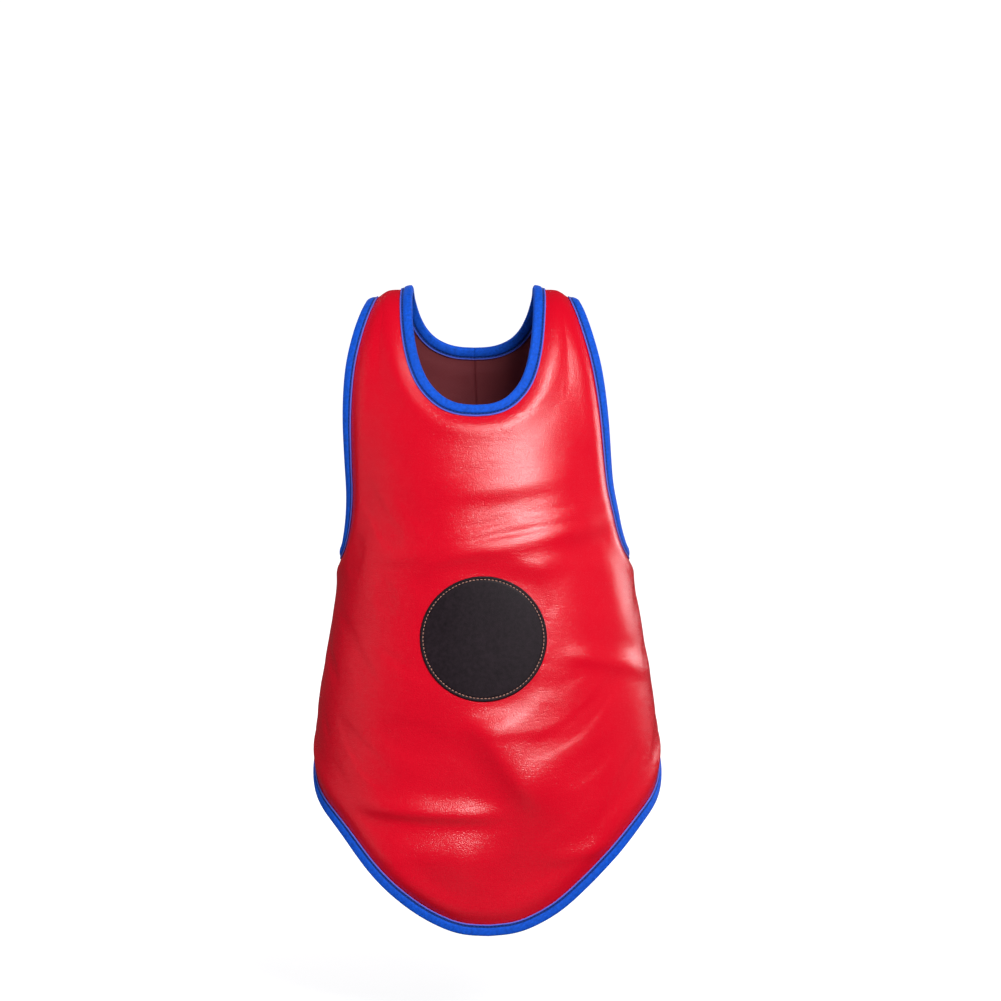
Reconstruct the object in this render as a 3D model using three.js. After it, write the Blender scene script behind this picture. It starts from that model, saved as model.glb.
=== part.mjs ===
// A child's padded fencing vest in the form it has when worn: a long pointed front panel and a short back
// in two halves, joined along the sides and the shoulder crests, with bound edges, a round target patch on
// the front and a plain closing strip down the middle of the back.
//
// Millimetres, +Z up. The front faces -Y and the wearer's left is at +X. The origin lies midway between the
// two shoulder straps, where their undersides rest on the shoulders.

import * as THREE from "three";

// Driving dimensions
const PAD_THICKNESS = 6;
const PAD_ROLL = 14;
const LIP_THICKNESS = 3;
const LIP_WIDTH = 9;
const SEAM_GAP = 0.3;
const TAPE_THICKNESS = 1;
const TAPE_LEG = 8.6;
const TAPE_GAP = 0.3;
const TAPE_FOLD = { out: 0.4, up: 0.45 };
const PATCH_RADIUS = 50;
const PATCH_THICKNESS = 1.2;
const PATCH_CENTRE = { x: 9, height: -277.6 };
const PATCH_FLAT_MARGIN = 22;
const FOLD_FADE = { from: 0.3, to: 1.1 };
const CLOSURE_WIDTH = 32;
const CLOSURE_THICKNESS = 1.6;
const CLOSURE_END_GAP = 14;
const APPLIED_GAP = 0.5;

// Grid counts, and how much the rows crowd together where an opening's edge runs level
const FRONT_GRID = { columns: 9, side: 16, armhole: 18, neck: 9 };
const BACK_GRID = { columns: 7, side: 6, armhole: 13, neck: 7 };
const ARMHOLE_CROWDING = 1.6;
const NECK_CROWDING = 1.6;
const NECK_PASSES = 12;
const BISECTIONS = 40;
const PATCH_GRID = { rings: 3, spokes: 36 };
const CLOSURE_GRID = { columns: 4, rows: 14 };

const RED_LEATHER = { color: 0xcf1029, roughness: 0.42, metalness: 0 };
const BLUE_TAPE = { color: 0x1450b8, roughness: 0.7, metalness: 0 };
const BLACK_LEATHER = { color: 0x2c2328, roughness: 0.6, metalness: 0 };

function table(columns, rows) {
  return rows.map((row) => Object.fromEntries(columns.map((name, i) => [name, row[i]])));
}

// Sections of the torso from the front hem's lowest point up to the shoulder crest, each a rounded arch.
// half is its half width, lean its sideways shift and square its squareness. front and back are the depths
// from the side seams to the middle, fall is how far the arch drops from its middle to its side, and tilt
// how far it leans over towards the shoulder. The last row lies past the crest and only sets the slope there.
const SECTIONS = table(
  ["height", "half", "lean", "square", "front", "frontFall", "frontTilt", "back", "backFall", "backTilt"],
  [
    [-506, 138, 13.5, 2.25, 84, 84, 0, 66, 66, 0],
    [-450, 140, 13, 2.25, 92, 92, 0, 70, 70, 0],
    [-390, 140, 12, 2.25, 96, 96, 0, 74, 74, 0],
    [-330, 135, 11, 2.25, 97.5, 97.5, 0, 76, 76, 0],
    [-275, 126, 11, 2.25, 96.5, 96.5, 0, 77, 77, 0],
    [-225, 118, 10, 2.25, 94, 94, 0, 80, 80, 0],
    [-182, 114, 8, 2.2, 90, 90, 0, 83, 83, 0],
    [-142, 114, 5, 2.2, 85.5, 86, 6, 84, 84, 2],
    [-106, 117, 3, 2.2, 79, 80, 11, 81, 78, 8],
    [-74, 119, 1.5, 2.2, 71, 72, 16, 73, 70, 15],
    [-45, 119.5, 0.5, 2.2, 61.5, 64, 23, 62, 64, 24],
    [-20, 119, 0, 2.2, 49, 62, 34, 49, 62, 35],
    [-2, 118, 0, 2.2, 35, 62, 47, 35, 62, 48],
    [8.5, 118, 0, 2.2, 19, 62, 68, 19, 62, 68],
    [12.3, 118, 0, 2.2, 0, 62, 90, 0, 62, 90],
    [8.5, 118, 0, 2.2, -19, 62, 112, -19, 62, 112],
  ],
);
const CREST = SECTIONS.length - 2;

// Lines along which the padding meets the binding. A hem runs from the middle, at angle 0, to the side seam,
// at 90 degrees. The armholes and necklines give the reach from the middle at each section's height.
const FRONT_HEM = table(
  ["angle", "height"],
  [
    [0, -506],
    [6, -504.2],
    [12, -498.5],
    [20, -487],
    [30, -467.5],
    [41, -445.5],
    [55, -421.5],
    [73, -399],
    [90, -374],
  ],
);
const BACK_HEM = table(
  ["angle", "height"],
  [
    [0, -326],
    [20, -328],
    [40, -334],
    [60, -345],
    [75, -357],
    [90, -374],
  ],
);
const ARMHOLE = table(
  ["height", "reach"],
  [
    [-216, 118],
    [-215.4, 116.6],
    [-213, 114.8],
    [-207, 111.6],
    [-196, 108],
    [-180, 104.6],
    [-155, 101.8],
    [-125, 100.8],
    [-95, 99.8],
    [-68, 97.5],
    [-45, 94],
    [-22, 88.5],
    [-4, 83],
    [7, 79],
    [12.3, 77],
  ],
);
const FRONT_NECK = table(
  ["height", "reach"],
  [
    [-100, 0],
    [-99.7, 7],
    [-98.3, 16],
    [-94, 27],
    [-86, 37],
    [-74, 46],
    [-58, 52.5],
    [-38, 56.8],
    [-15, 59],
    [3, 59.5],
    [12.3, 59],
  ],
);
const BACK_NECK = table(
  ["height", "reach"],
  [
    [-48, 0],
    [-47.8, 7],
    [-46.8, 16],
    [-43.5, 27],
    [-37, 38],
    [-27, 47],
    [-14, 53.5],
    [0, 57.5],
    [8, 58.8],
    [12.3, 59],
  ],
);

// Main folds and dents of the front: a fold's middle, its slope from the level in degrees, its length and
// width, and how far it stands out, or in where rise is negative.
const FOLDS = table(
  ["x", "height", "slope", "length", "width", "rise"],
  [
    [46, -153, 9, 70, 9, 1.4],
    [20, -165, 9, 100, 9, -1.6],
    [34, -186, 10, 90, 13, 2.2],
    [22, -206, 14, 140, 9, -2.2],
    [100, -296, -12, 85, 9, 2.2],
    [50, -345, 7, 75, 9, 1.6],
    [-34, -411, -4, 120, 9, 2.8],
    [-38, -427, -3, 120, 9, -2.4],
    [-26, -441, -2, 90, 12, 1.6],
    [86, -446, 14, 45, 9, 1.6],
    [-86, -214, 86, 110, 14, 2],
    [114, -246, -78, 100, 12, 2],
  ],
);

// The two sides of the vest, with the heights at which the grid's row from the underarm reaches the middle
// and its row from the neckline reaches the armhole.
const FRONT = {
  name: "front",
  facing: -1,
  hem: FRONT_HEM,
  neck: FRONT_NECK,
  folds: FOLDS,
  grid: FRONT_GRID,
  underarmRowMiddle: -302,
  neckRowSide: -72,
};
const BACK = {
  name: "back",
  facing: 1,
  hem: BACK_HEM,
  neck: BACK_NECK,
  folds: [],
  grid: BACK_GRID,
  underarmRowMiddle: -262,
  neckRowSide: -44,
};

const { clamp, degToRad, lerp, smoothstep } = THREE.MathUtils;
const QUARTER_TURN = Math.PI / 2;
const SLOPE_STEP = 0.02;

// A table's row at a place between its rows, on a smooth curve through each column.
function rowAt(rows, place) {
  const last = rows.length - 1;
  const index = clamp(Math.floor(place), 0, last - 1);
  const part = place - index;
  const near = [index - 1, index, index + 1, index + 2].map((i) => rows[clamp(i, 0, last)]);
  const row = {};
  for (const column of Object.keys(rows[0])) {
    const [before, from, to, after] = near.map((r) => r[column]);
    const leave = (to - before) / 2;
    const arrive = (after - from) / 2;
    const bend = 3 * (to - from) - 2 * leave - arrive;
    const twist = 2 * (from - to) + leave + arrive;
    row[column] = from + part * (leave + part * (bend + part * twist));
  }
  return row;
}

// The place in a table where a rising column reaches a value.
function placeOf(rows, column, value, last = rows.length - 1) {
  let low = 0;
  let high = last;
  for (let pass = 0; pass < BISECTIONS; pass++) {
    const middle = (low + high) / 2;
    if (rowAt(rows, middle)[column] < value) low = middle;
    else high = middle;
  }
  return (low + high) / 2;
}

const placeAtHeight = (height) => placeOf(SECTIONS, "height", height, CREST);
const reachAt = (line, height) => rowAt(line, placeOf(line, "height", height)).reach;

// The angle round an arch at a distance from its middle.
function angleAtReach(place, reach) {
  const { half, square } = rowAt(SECTIONS, place);
  return Math.sign(reach) * Math.asin(Math.pow(Math.min(Math.abs(reach) / half, 1), square / 2));
}

// How far the folds stand out from the smooth surface. A fold fades out towards its ends, and the ground
// under the patch is stiffer and stays smooth.
function foldRise(folds, x, height) {
  let rise = 0;
  for (const fold of folds) {
    const slope = degToRad(fold.slope);
    const dx = x - fold.x;
    const dz = height - fold.height;
    const along = (dx * Math.cos(slope) + dz * Math.sin(slope)) / (fold.length / 2);
    const across = (dz * Math.cos(slope) - dx * Math.sin(slope)) / fold.width;
    const fade = smoothstep(Math.abs(along), FOLD_FADE.from, FOLD_FADE.to);
    rise += fold.rise * Math.exp(-across * across) * (1 - fade);
  }
  const fromPatch = Math.hypot(x - PATCH_CENTRE.x, height - PATCH_CENTRE.height);
  return rise * smoothstep(fromPatch, PATCH_RADIUS, PATCH_RADIUS + PATCH_FLAT_MARGIN);
}

// A point of a panel's smooth middle surface.
function archPoint(panel, place, angle) {
  const row = rowAt(SECTIONS, place);
  const power = 2 / row.square;
  const tilt = degToRad(row[panel.name + "Tilt"]);
  const fall = row[panel.name + "Fall"] * (1 - Math.pow(Math.abs(Math.cos(angle)), power));
  const depth = Math.max(row[panel.name] - fall * Math.cos(tilt), SEAM_GAP / 2);
  return new THREE.Vector3(
    row.lean + Math.sign(angle) * row.half * Math.pow(Math.abs(Math.sin(angle)), power),
    panel.facing * depth,
    row.height - fall * Math.sin(tilt),
  );
}

// A point of a panel's middle surface with its folds, and the direction that points out of the vest there.
function surfaceAt(panel, place, angle) {
  const low = Math.max(angle - SLOPE_STEP, -QUARTER_TURN);
  const high = Math.min(angle + SLOPE_STEP, QUARTER_TURN);
  const across = archPoint(panel, place, high).sub(archPoint(panel, place, low));
  const lower = Math.max(place - SLOPE_STEP, 0);
  const upper = Math.min(place + SLOPE_STEP, CREST);
  const along = archPoint(panel, upper, angle).sub(archPoint(panel, lower, angle));
  const normal = across.cross(along).multiplyScalar(-panel.facing).normalize();
  const point = archPoint(panel, place, angle);
  point.addScaledVector(normal, foldRise(panel.folds, point.x, point.z));
  return { point, normal };
}

// A sheet holds points of a middle surface and the faces between them, and becomes one closed wall.
class Sheet {
  vertices = [];
  faces = [];

  add(vertex) {
    return this.vertices.push(vertex) - 1;
  }

  // Faces between neighbouring rows of vertices.
  fill(rows, mirrored = false) {
    for (let i = 0; i + 1 < rows.length; i++)
      for (let j = 0; j + 1 < rows[i].length; j++) {
        const corners = [rows[i][j], rows[i][j + 1], rows[i + 1][j + 1], rows[i + 1][j]];
        this.faces.push(mirrored ? corners.reverse() : corners);
      }
  }

  // The wall between the two sides of the sheet, closed along every open edge.
  toGeometry() {
    const count = this.vertices.length;
    const offset = (v, sign) => v.point.clone().addScaledVector(v.normal, (sign * v.thickness) / 2);
    const points = [1, -1].flatMap((sign) => this.vertices.map((v) => offset(v, sign)));
    const openEdges = new Map();
    for (const corners of this.faces)
      corners.forEach((a, i) => {
        const b = corners[(i + 1) % corners.length];
        if (!openEdges.delete(b + " " + a)) openEdges.set(a + " " + b, [a, b]);
      });
    const inner = this.faces.map((corners) => corners.map((i) => i + count).reverse());
    const rim = [...openEdges.values()].map(([a, b]) => [b, a, a + count, b + count]);
    return closedGeometry(points, [...this.faces, ...inner, ...rim]);
  }
}

// A closed surface of flat faces, turned so that they point out.
function closedGeometry(points, faces) {
  const triangles = faces.flatMap((f) => f.slice(2).map((_, i) => [f[0], f[i + 1], f[i + 2]]));
  const cross = new THREE.Vector3();
  let volume = 0;
  for (const [a, b, c] of triangles) volume += points[a].dot(cross.crossVectors(points[b], points[c]));
  const geometry = new THREE.BufferGeometry().setFromPoints(points);
  geometry.setIndex(triangles.flatMap(([a, b, c]) => (volume < 0 ? [a, c, b] : [a, b, c])));
  geometry.computeVertexNormals();
  return geometry;
}

// The rows of a panel's grid. They fill three bands, from the hem to a row that starts at the underarm, from
// there to one that starts at the neckline's lowest point, and from there to the crest.
function gridRows({ grid }) {
  const band = (number, count, crowding) =>
    Array.from({ length: count }, (_, i) => ({ band: number, share: Math.pow(i / count, crowding) }));
  return [
    ...band(0, grid.side, 1),
    ...band(1, grid.armhole, ARMHOLE_CROWDING),
    ...band(2, grid.neck, NECK_CROWDING),
    { band: 2, share: 1 },
  ];
}

// The place of a row at a share of the way from the panel's middle to its side.
function rowPlace(panel, { band, share }, across) {
  const toSide = 1 - Math.cos(across * QUARTER_TURN);
  const level = (middle, side) => lerp(placeAtHeight(middle), placeAtHeight(side), toSide);
  const bounds = [
    () => placeAtHeight(rowAt(panel.hem, placeOf(panel.hem, "angle", 90 * across)).height),
    () => level(panel.underarmRowMiddle, ARMHOLE[0].height),
    () => level(panel.neck[0].height, panel.neckRowSide),
    () => CREST,
  ];
  return lerp(bounds[band](), bounds[band + 1](), share);
}

// The place and the angle of a row at a share of the way across it, from the middle or the neckline to the
// side seam or the armhole.
function gridSpot(panel, row, across, pastArmhole, pastNeck) {
  const sidePlace = rowPlace(panel, row, 1);
  const sideHeight = rowAt(SECTIONS, sidePlace).height;
  const sideAngle = pastArmhole ? angleAtReach(sidePlace, reachAt(ARMHOLE, sideHeight)) : QUARTER_TURN;
  let innerAngle = 0;
  if (pastNeck)
    for (let pass = 0; pass < NECK_PASSES; pass++) {
      const place = rowPlace(panel, row, innerAngle / sideAngle);
      innerAngle = angleAtReach(place, reachAt(panel.neck, rowAt(SECTIONS, place).height));
    }
  const angle = lerp(innerAngle, sideAngle, across);
  return { place: rowPlace(panel, row, angle / sideAngle), angle };
}

// Lays one half of a panel into a sheet and returns its bound lines: the vertices along the hem, the armhole
// and the neckline, in the order that keeps the panel on the left hand. middle holds the vertices of the
// middle line where the two halves are one piece.
function layHalfPanel(sheet, panel, side, middle) {
  const gridLines = gridRows(panel);
  const { columns, side: armholeRow } = panel.grid;
  const neckRow = armholeRow + panel.grid.armhole;
  const crestRow = gridLines.length - 1;
  const mirrored = side * panel.facing > 0;
  const layVertex = (i, j) => {
    const onMiddle = j === 0 && i <= neckRow;
    if (onMiddle && middle?.[i] !== undefined) return middle[i];
    const spot = gridSpot(panel, gridLines[i], j / columns, i > armholeRow, i > neckRow);
    const vertex = surfaceAt(panel, spot.place, side * spot.angle);
    if (i === crestRow || (j === columns && i <= armholeRow)) vertex.seam = "y";
    if (onMiddle && !middle) {
      vertex.seam = "x";
      vertex.point.x += side * SEAM_GAP;
    }
    intoSeam(vertex.normal, vertex.seam);
    const index = sheet.add(vertex);
    if (onMiddle && middle) middle[i] = index;
    return index;
  };
  const rows = gridLines.map((_, i) => Array.from({ length: columns + 1 }, (_, j) => layVertex(i, j)));
  sheet.fill(rows, mirrored);
  const lines = {
    hem: rows[0],
    armhole: rows.slice(armholeRow).map((row) => row[columns]),
    neck: rows
      .slice(neckRow)
      .map((row) => row[0])
      .reverse(),
  };
  if (mirrored) Object.values(lines).forEach((line) => line.reverse());
  return lines;
}

// Turns a direction into the plane of the seam that it starts on.
function intoSeam(direction, seam) {
  if (seam) direction[seam] = 0;
  return direction.normalize();
}

// Sets the padding's thickness, which rolls down to the lip at the bound lines.
function rollPadding(sheet, lines) {
  const edge = lines.flat().map((index) => sheet.vertices[index].point);
  for (const vertex of sheet.vertices) {
    const away = Math.min(...edge.map((point) => point.distanceTo(vertex.point)));
    vertex.thickness = LIP_THICKNESS + (PAD_THICKNESS - LIP_THICKNESS) * smoothstep(away, 0, PAD_ROLL);
  }
}

// Adds the thin lip outside a bound line and returns the frames of its free edge, which a binding follows.
function layLip(sheet, line) {
  const vertices = line.map((index) => sheet.vertices[index]);
  const last = line.length - 1;
  const frames = vertices.map(({ point, normal, seam }, k) => {
    const tangent = vertices[Math.min(k + 1, last)].point.clone().sub(vertices[Math.max(k - 1, 0)].point);
    const out = intoSeam(tangent.cross(normal), seam);
    return { point: point.clone().addScaledVector(out, LIP_WIDTH), normal, out };
  });
  const edge = frames.map(({ point, normal }) => sheet.add({ point, normal, thickness: LIP_THICKNESS }));
  sheet.fill([edge, line]);
  return frames;
}

// The front panel is one wall whose halves share the middle line.
function frontPanel() {
  const sheet = new Sheet();
  const middle = [];
  const left = layHalfPanel(sheet, FRONT, 1, middle);
  const right = layHalfPanel(sheet, FRONT, -1, middle);
  const lines = {
    hem: [...right.hem, ...left.hem.slice(1)],
    neck: [...left.neck, ...right.neck.slice(1)],
    leftArmhole: left.armhole,
    rightArmhole: right.armhole,
  };
  return finishPanel(sheet, lines);
}

function backPanel(side) {
  const sheet = new Sheet();
  return finishPanel(sheet, layHalfPanel(sheet, BACK, side));
}

function finishPanel(sheet, lines) {
  rollPadding(sheet, Object.values(lines));
  const lips = {};
  for (const [name, line] of Object.entries(lines)) lips[name] = layLip(sheet, line);
  return { geometry: sheet.toGeometry(), lips };
}

// One run of frames from runs that meet at seams, where the two frames that meet become one.
function joinFrames(runs, closed) {
  const frames = [];
  const merge = (a, b) => ({
    point: a.point.clone().lerp(b.point, 0.5),
    normal: a.normal.clone().add(b.normal).normalize(),
    out: a.out.clone().add(b.out).normalize(),
  });
  for (const run of runs) {
    const rest = [...run];
    if (frames.length) frames.push(merge(frames.pop(), rest.shift()));
    frames.push(...rest);
  }
  if (closed) frames[0] = merge(frames[0], frames.pop());
  return frames;
}

// A tape folded round the lip, as a section swept along the frames of the lip's edge.
function foldedTape(frames, closed) {
  const inside = LIP_THICKNESS / 2 + TAPE_GAP;
  const outside = inside + TAPE_THICKNESS;
  const fold = TAPE_GAP + TAPE_THICKNESS;
  const section = [
    [-TAPE_LEG, outside],
    [TAPE_FOLD.out * fold, outside],
    [fold, TAPE_FOLD.up * outside],
    [fold, -TAPE_FOLD.up * outside],
    [TAPE_FOLD.out * fold, -outside],
    [-TAPE_LEG, -outside],
    [-TAPE_LEG, -inside],
    [TAPE_GAP, -inside],
    [TAPE_GAP, inside],
    [-TAPE_LEG, inside],
  ].map(([out, up]) => new THREE.Vector2(out, up));
  const count = section.length;
  const points = frames.flatMap(({ point, normal, out }) =>
    section.map((s) => point.clone().addScaledVector(out, s.x).addScaledVector(normal, s.y)),
  );
  const faces = [];
  const steps = closed ? frames.length : frames.length - 1;
  for (let i = 0; i < steps; i++) {
    const here = i * count;
    const next = ((i + 1) % frames.length) * count;
    for (let k = 0; k < count; k++) {
      const after = (k + 1) % count;
      faces.push([here + k, here + after, next + after, next + k]);
    }
  }
  if (!closed) {
    const end = (frames.length - 1) * count;
    for (const corners of THREE.ShapeUtils.triangulateShape(section, [])) {
      faces.push(corners);
      faces.push(corners.map((i) => i + end).reverse());
    }
  }
  return closedGeometry(points, faces);
}

// The patch is a thin disc that follows the chest just clear of the front panel.
function targetPatch() {
  const sheet = new Sheet();
  const rise = PAD_THICKNESS / 2 + APPLIED_GAP + PATCH_THICKNESS / 2;
  const layVertex = (radius, turn) => {
    const x = PATCH_CENTRE.x + radius * Math.cos(turn);
    const place = placeAtHeight(PATCH_CENTRE.height + radius * Math.sin(turn));
    const angle = angleAtReach(place, x - rowAt(SECTIONS, place).lean);
    const { point, normal } = surfaceAt(FRONT, place, angle);
    return sheet.add({ point: point.addScaledVector(normal, rise), normal, thickness: PATCH_THICKNESS });
  };
  const { rings, spokes } = PATCH_GRID;
  const centre = layVertex(0, 0);
  const rows = [];
  for (let ring = 1; ring <= rings; ring++) {
    const radius = (PATCH_RADIUS * ring) / rings;
    const row = Array.from({ length: spokes }, (_, k) => layVertex(radius, (2 * Math.PI * k) / spokes));
    rows.push([...row, row[0]]);
  }
  sheet.fill(rows, true);
  for (let k = 0; k < spokes; k++) sheet.faces.push([centre, rows[0][k], rows[0][k + 1]]);
  return sheet.toGeometry();
}

// The closing strip lies over the gap between the back's halves, between the neck and the hem bindings.
function backClosure() {
  const sheet = new Sheet();
  const rise = PAD_THICKNESS / 2 + APPLIED_GAP + CLOSURE_THICKNESS / 2;
  const low = placeAtHeight(BACK_HEM[0].height + CLOSURE_END_GAP);
  const high = placeAtHeight(BACK_NECK[0].height - CLOSURE_END_GAP);
  const layVertex = (i, j) => {
    const place = lerp(low, high, i / CLOSURE_GRID.rows);
    const angle = angleAtReach(place, CLOSURE_WIDTH * (j / CLOSURE_GRID.columns - 0.5));
    const { point, normal } = surfaceAt(BACK, place, angle);
    return sheet.add({ point: point.addScaledVector(normal, rise), normal, thickness: CLOSURE_THICKNESS });
  };
  const rows = Array.from({ length: CLOSURE_GRID.rows + 1 }, (_, i) =>
    Array.from({ length: CLOSURE_GRID.columns + 1 }, (_, j) => layVertex(i, j)),
  );
  sheet.fill(rows);
  return sheet.toGeometry();
}

const vest = new THREE.Group();

function addPiece(name, geometry, finish) {
  const piece = new THREE.Mesh(geometry, new THREE.MeshStandardMaterial(finish));
  piece.name = name;
  vest.add(piece);
}

const front = frontPanel();
const backLeft = backPanel(1);
const backRight = backPanel(-1);
const hemFrames = joinFrames([backRight.lips.hem, front.lips.hem, backLeft.lips.hem], false);
const neckFrames = joinFrames([backLeft.lips.neck, front.lips.neck, backRight.lips.neck], false);
const leftArmholeFrames = joinFrames([front.lips.leftArmhole, backLeft.lips.armhole], true);
const rightArmholeFrames = joinFrames([front.lips.rightArmhole, backRight.lips.armhole], true);

addPiece("front_panel", front.geometry, RED_LEATHER);
addPiece("back_panel_left", backLeft.geometry, RED_LEATHER);
addPiece("back_panel_right", backRight.geometry, RED_LEATHER);
addPiece("back_closure", backClosure(), RED_LEATHER);
addPiece("target_patch", targetPatch(), BLACK_LEATHER);
addPiece("hem_binding", foldedTape(hemFrames, false), BLUE_TAPE);
addPiece("neck_binding", foldedTape(neckFrames, false), BLUE_TAPE);
addPiece("armhole_binding_left", foldedTape(leftArmholeFrames, true), BLUE_TAPE);
addPiece("armhole_binding_right", foldedTape(rightArmholeFrames, true), BLUE_TAPE);

export default vest;
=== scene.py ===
"""The looks of a padded fencing vest: red leather panels over foam, blue tape folded round the edges, a
stitched round patch on the front and a plain closing strip down the back.

Metres, +Z up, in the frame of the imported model. The front faces -Y, and +X is the left side as worn.
"""

import math
from dataclasses import dataclass, replace
from functools import partial

import bpy
import numpy as np
from bpy.props import FloatProperty, FloatVectorProperty, PointerProperty
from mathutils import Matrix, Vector
from mathutils.kdtree import KDTree


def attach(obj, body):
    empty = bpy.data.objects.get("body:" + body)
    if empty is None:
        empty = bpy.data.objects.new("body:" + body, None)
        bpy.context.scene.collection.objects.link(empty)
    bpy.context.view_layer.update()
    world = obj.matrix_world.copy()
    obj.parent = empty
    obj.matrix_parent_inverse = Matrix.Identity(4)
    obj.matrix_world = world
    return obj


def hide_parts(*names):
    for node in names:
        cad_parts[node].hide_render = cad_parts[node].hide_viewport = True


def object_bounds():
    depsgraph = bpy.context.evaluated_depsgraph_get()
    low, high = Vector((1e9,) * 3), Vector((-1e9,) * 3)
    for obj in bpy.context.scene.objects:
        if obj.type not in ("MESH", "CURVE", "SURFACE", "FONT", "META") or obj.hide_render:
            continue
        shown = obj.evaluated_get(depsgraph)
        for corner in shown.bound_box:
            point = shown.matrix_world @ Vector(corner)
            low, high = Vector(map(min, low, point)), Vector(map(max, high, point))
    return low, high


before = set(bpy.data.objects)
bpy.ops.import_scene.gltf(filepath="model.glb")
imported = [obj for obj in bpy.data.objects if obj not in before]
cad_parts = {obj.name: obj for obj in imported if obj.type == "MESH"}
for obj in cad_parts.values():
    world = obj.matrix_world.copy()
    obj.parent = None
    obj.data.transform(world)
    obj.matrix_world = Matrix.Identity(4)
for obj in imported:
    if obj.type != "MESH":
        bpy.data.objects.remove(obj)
CAD_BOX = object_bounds()

bl_info = {
    "name": "Fencing Vest",
    "version": (1, 0, 0),
    "blender": (4, 5, 0),
    "location": "3D View > Sidebar > Vest",
    "description": "Builds the visible pieces of a padded fencing vest around its packed model",
    "category": "Mesh",
}

BODY = "root"


def table(columns, rows):
    """The columns of a table by name, as arrays."""
    return dict(zip(columns, np.array(rows, float).T))


# Sections of the torso from the front hem's lowest point up to the shoulder crest, each a rounded arch. half
# is its half width, lean its sideways shift and square its squareness. front and back are the depths from
# the side seams to the middle, fall is how far the arch drops from its middle to its side, and tilt, in
# degrees, how far it leans over towards the shoulder. The last row lies past the crest.
SECTIONS = table(
    (
        *("height", "half", "lean", "square"),
        *("front", "front_fall", "front_tilt"),
        *("back", "back_fall", "back_tilt"),
    ),
    [
        (-0.5060, 0.1380, 0.0135, 2.25, 0.0840, 0.0840, 0, 0.0660, 0.0660, 0),
        (-0.4500, 0.1400, 0.0130, 2.25, 0.0920, 0.0920, 0, 0.0700, 0.0700, 0),
        (-0.3900, 0.1400, 0.0120, 2.25, 0.0960, 0.0960, 0, 0.0740, 0.0740, 0),
        (-0.3300, 0.1350, 0.0110, 2.25, 0.0975, 0.0975, 0, 0.0760, 0.0760, 0),
        (-0.2750, 0.1260, 0.0110, 2.25, 0.0965, 0.0965, 0, 0.0770, 0.0770, 0),
        (-0.2250, 0.1180, 0.0100, 2.25, 0.0940, 0.0940, 0, 0.0800, 0.0800, 0),
        (-0.1820, 0.1140, 0.0080, 2.20, 0.0900, 0.0900, 0, 0.0830, 0.0830, 0),
        (-0.1420, 0.1140, 0.0050, 2.20, 0.0855, 0.0860, 6, 0.0840, 0.0840, 2),
        (-0.1060, 0.1170, 0.0030, 2.20, 0.0790, 0.0800, 11, 0.0810, 0.0780, 8),
        (-0.0740, 0.1190, 0.0015, 2.20, 0.0710, 0.0720, 16, 0.0730, 0.0700, 15),
        (-0.0450, 0.1195, 0.0005, 2.20, 0.0615, 0.0640, 23, 0.0620, 0.0640, 24),
        (-0.0200, 0.1190, 0.0000, 2.20, 0.0490, 0.0620, 34, 0.0490, 0.0620, 35),
        (-0.0020, 0.1180, 0.0000, 2.20, 0.0350, 0.0620, 47, 0.0350, 0.0620, 48),
        (0.0085, 0.1180, 0.0000, 2.20, 0.0190, 0.0620, 68, 0.0190, 0.0620, 68),
        (0.0123, 0.1180, 0.0000, 2.20, 0.0000, 0.0620, 90, 0.0000, 0.0620, 90),
        (0.0085, 0.1180, 0.0000, 2.20, -0.0190, 0.0620, 112, -0.0190, 0.0620, 112),
    ],
)
CREST = len(SECTIONS["height"]) - 2

# Lines along which the padding meets the binding. A hem runs from the middle, at angle 0, to the side seam,
# at 90 degrees. The armholes and necklines give the reach from the middle at each section's height.
FRONT_HEM = table(
    ("angle", "height"),
    [
        *[(0, -0.5060), (6, -0.5042), (12, -0.4985), (20, -0.4870), (30, -0.4675)],
        *[(41, -0.4455), (55, -0.4215), (73, -0.3990), (90, -0.3740)],
    ],
)
BACK_HEM = table(
    ("angle", "height"),
    [(0, -0.326), (20, -0.328), (40, -0.334), (60, -0.345), (75, -0.357), (90, -0.374)],
)
ARMHOLE = table(
    ("height", "reach"),
    [
        *[(-0.2160, 0.1180), (-0.2154, 0.1166), (-0.2130, 0.1148), (-0.2070, 0.1116), (-0.1960, 0.1080)],
        *[(-0.1800, 0.1046), (-0.1550, 0.1018), (-0.1250, 0.1008), (-0.0950, 0.0998), (-0.0680, 0.0975)],
        *[(-0.0450, 0.0940), (-0.0220, 0.0885), (-0.0040, 0.0830), (0.0070, 0.0790), (0.0123, 0.0770)],
    ],
)
FRONT_NECK = table(
    ("height", "reach"),
    [
        *[(-0.1000, 0.0000), (-0.0997, 0.0070), (-0.0983, 0.0160), (-0.0940, 0.0270), (-0.0860, 0.0370)],
        *[(-0.0740, 0.0460), (-0.0580, 0.0525), (-0.0380, 0.0568), (-0.0150, 0.0590), (0.0030, 0.0595)],
        (0.0123, 0.0590),
    ],
)
BACK_NECK = table(
    ("height", "reach"),
    [
        *[(-0.0480, 0.0000), (-0.0478, 0.0070), (-0.0468, 0.0160), (-0.0435, 0.0270), (-0.0370, 0.0380)],
        *[(-0.0270, 0.0470), (-0.0140, 0.0535), (0.0000, 0.0575), (0.0080, 0.0588), (0.0123, 0.0590)],
    ],
)

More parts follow.
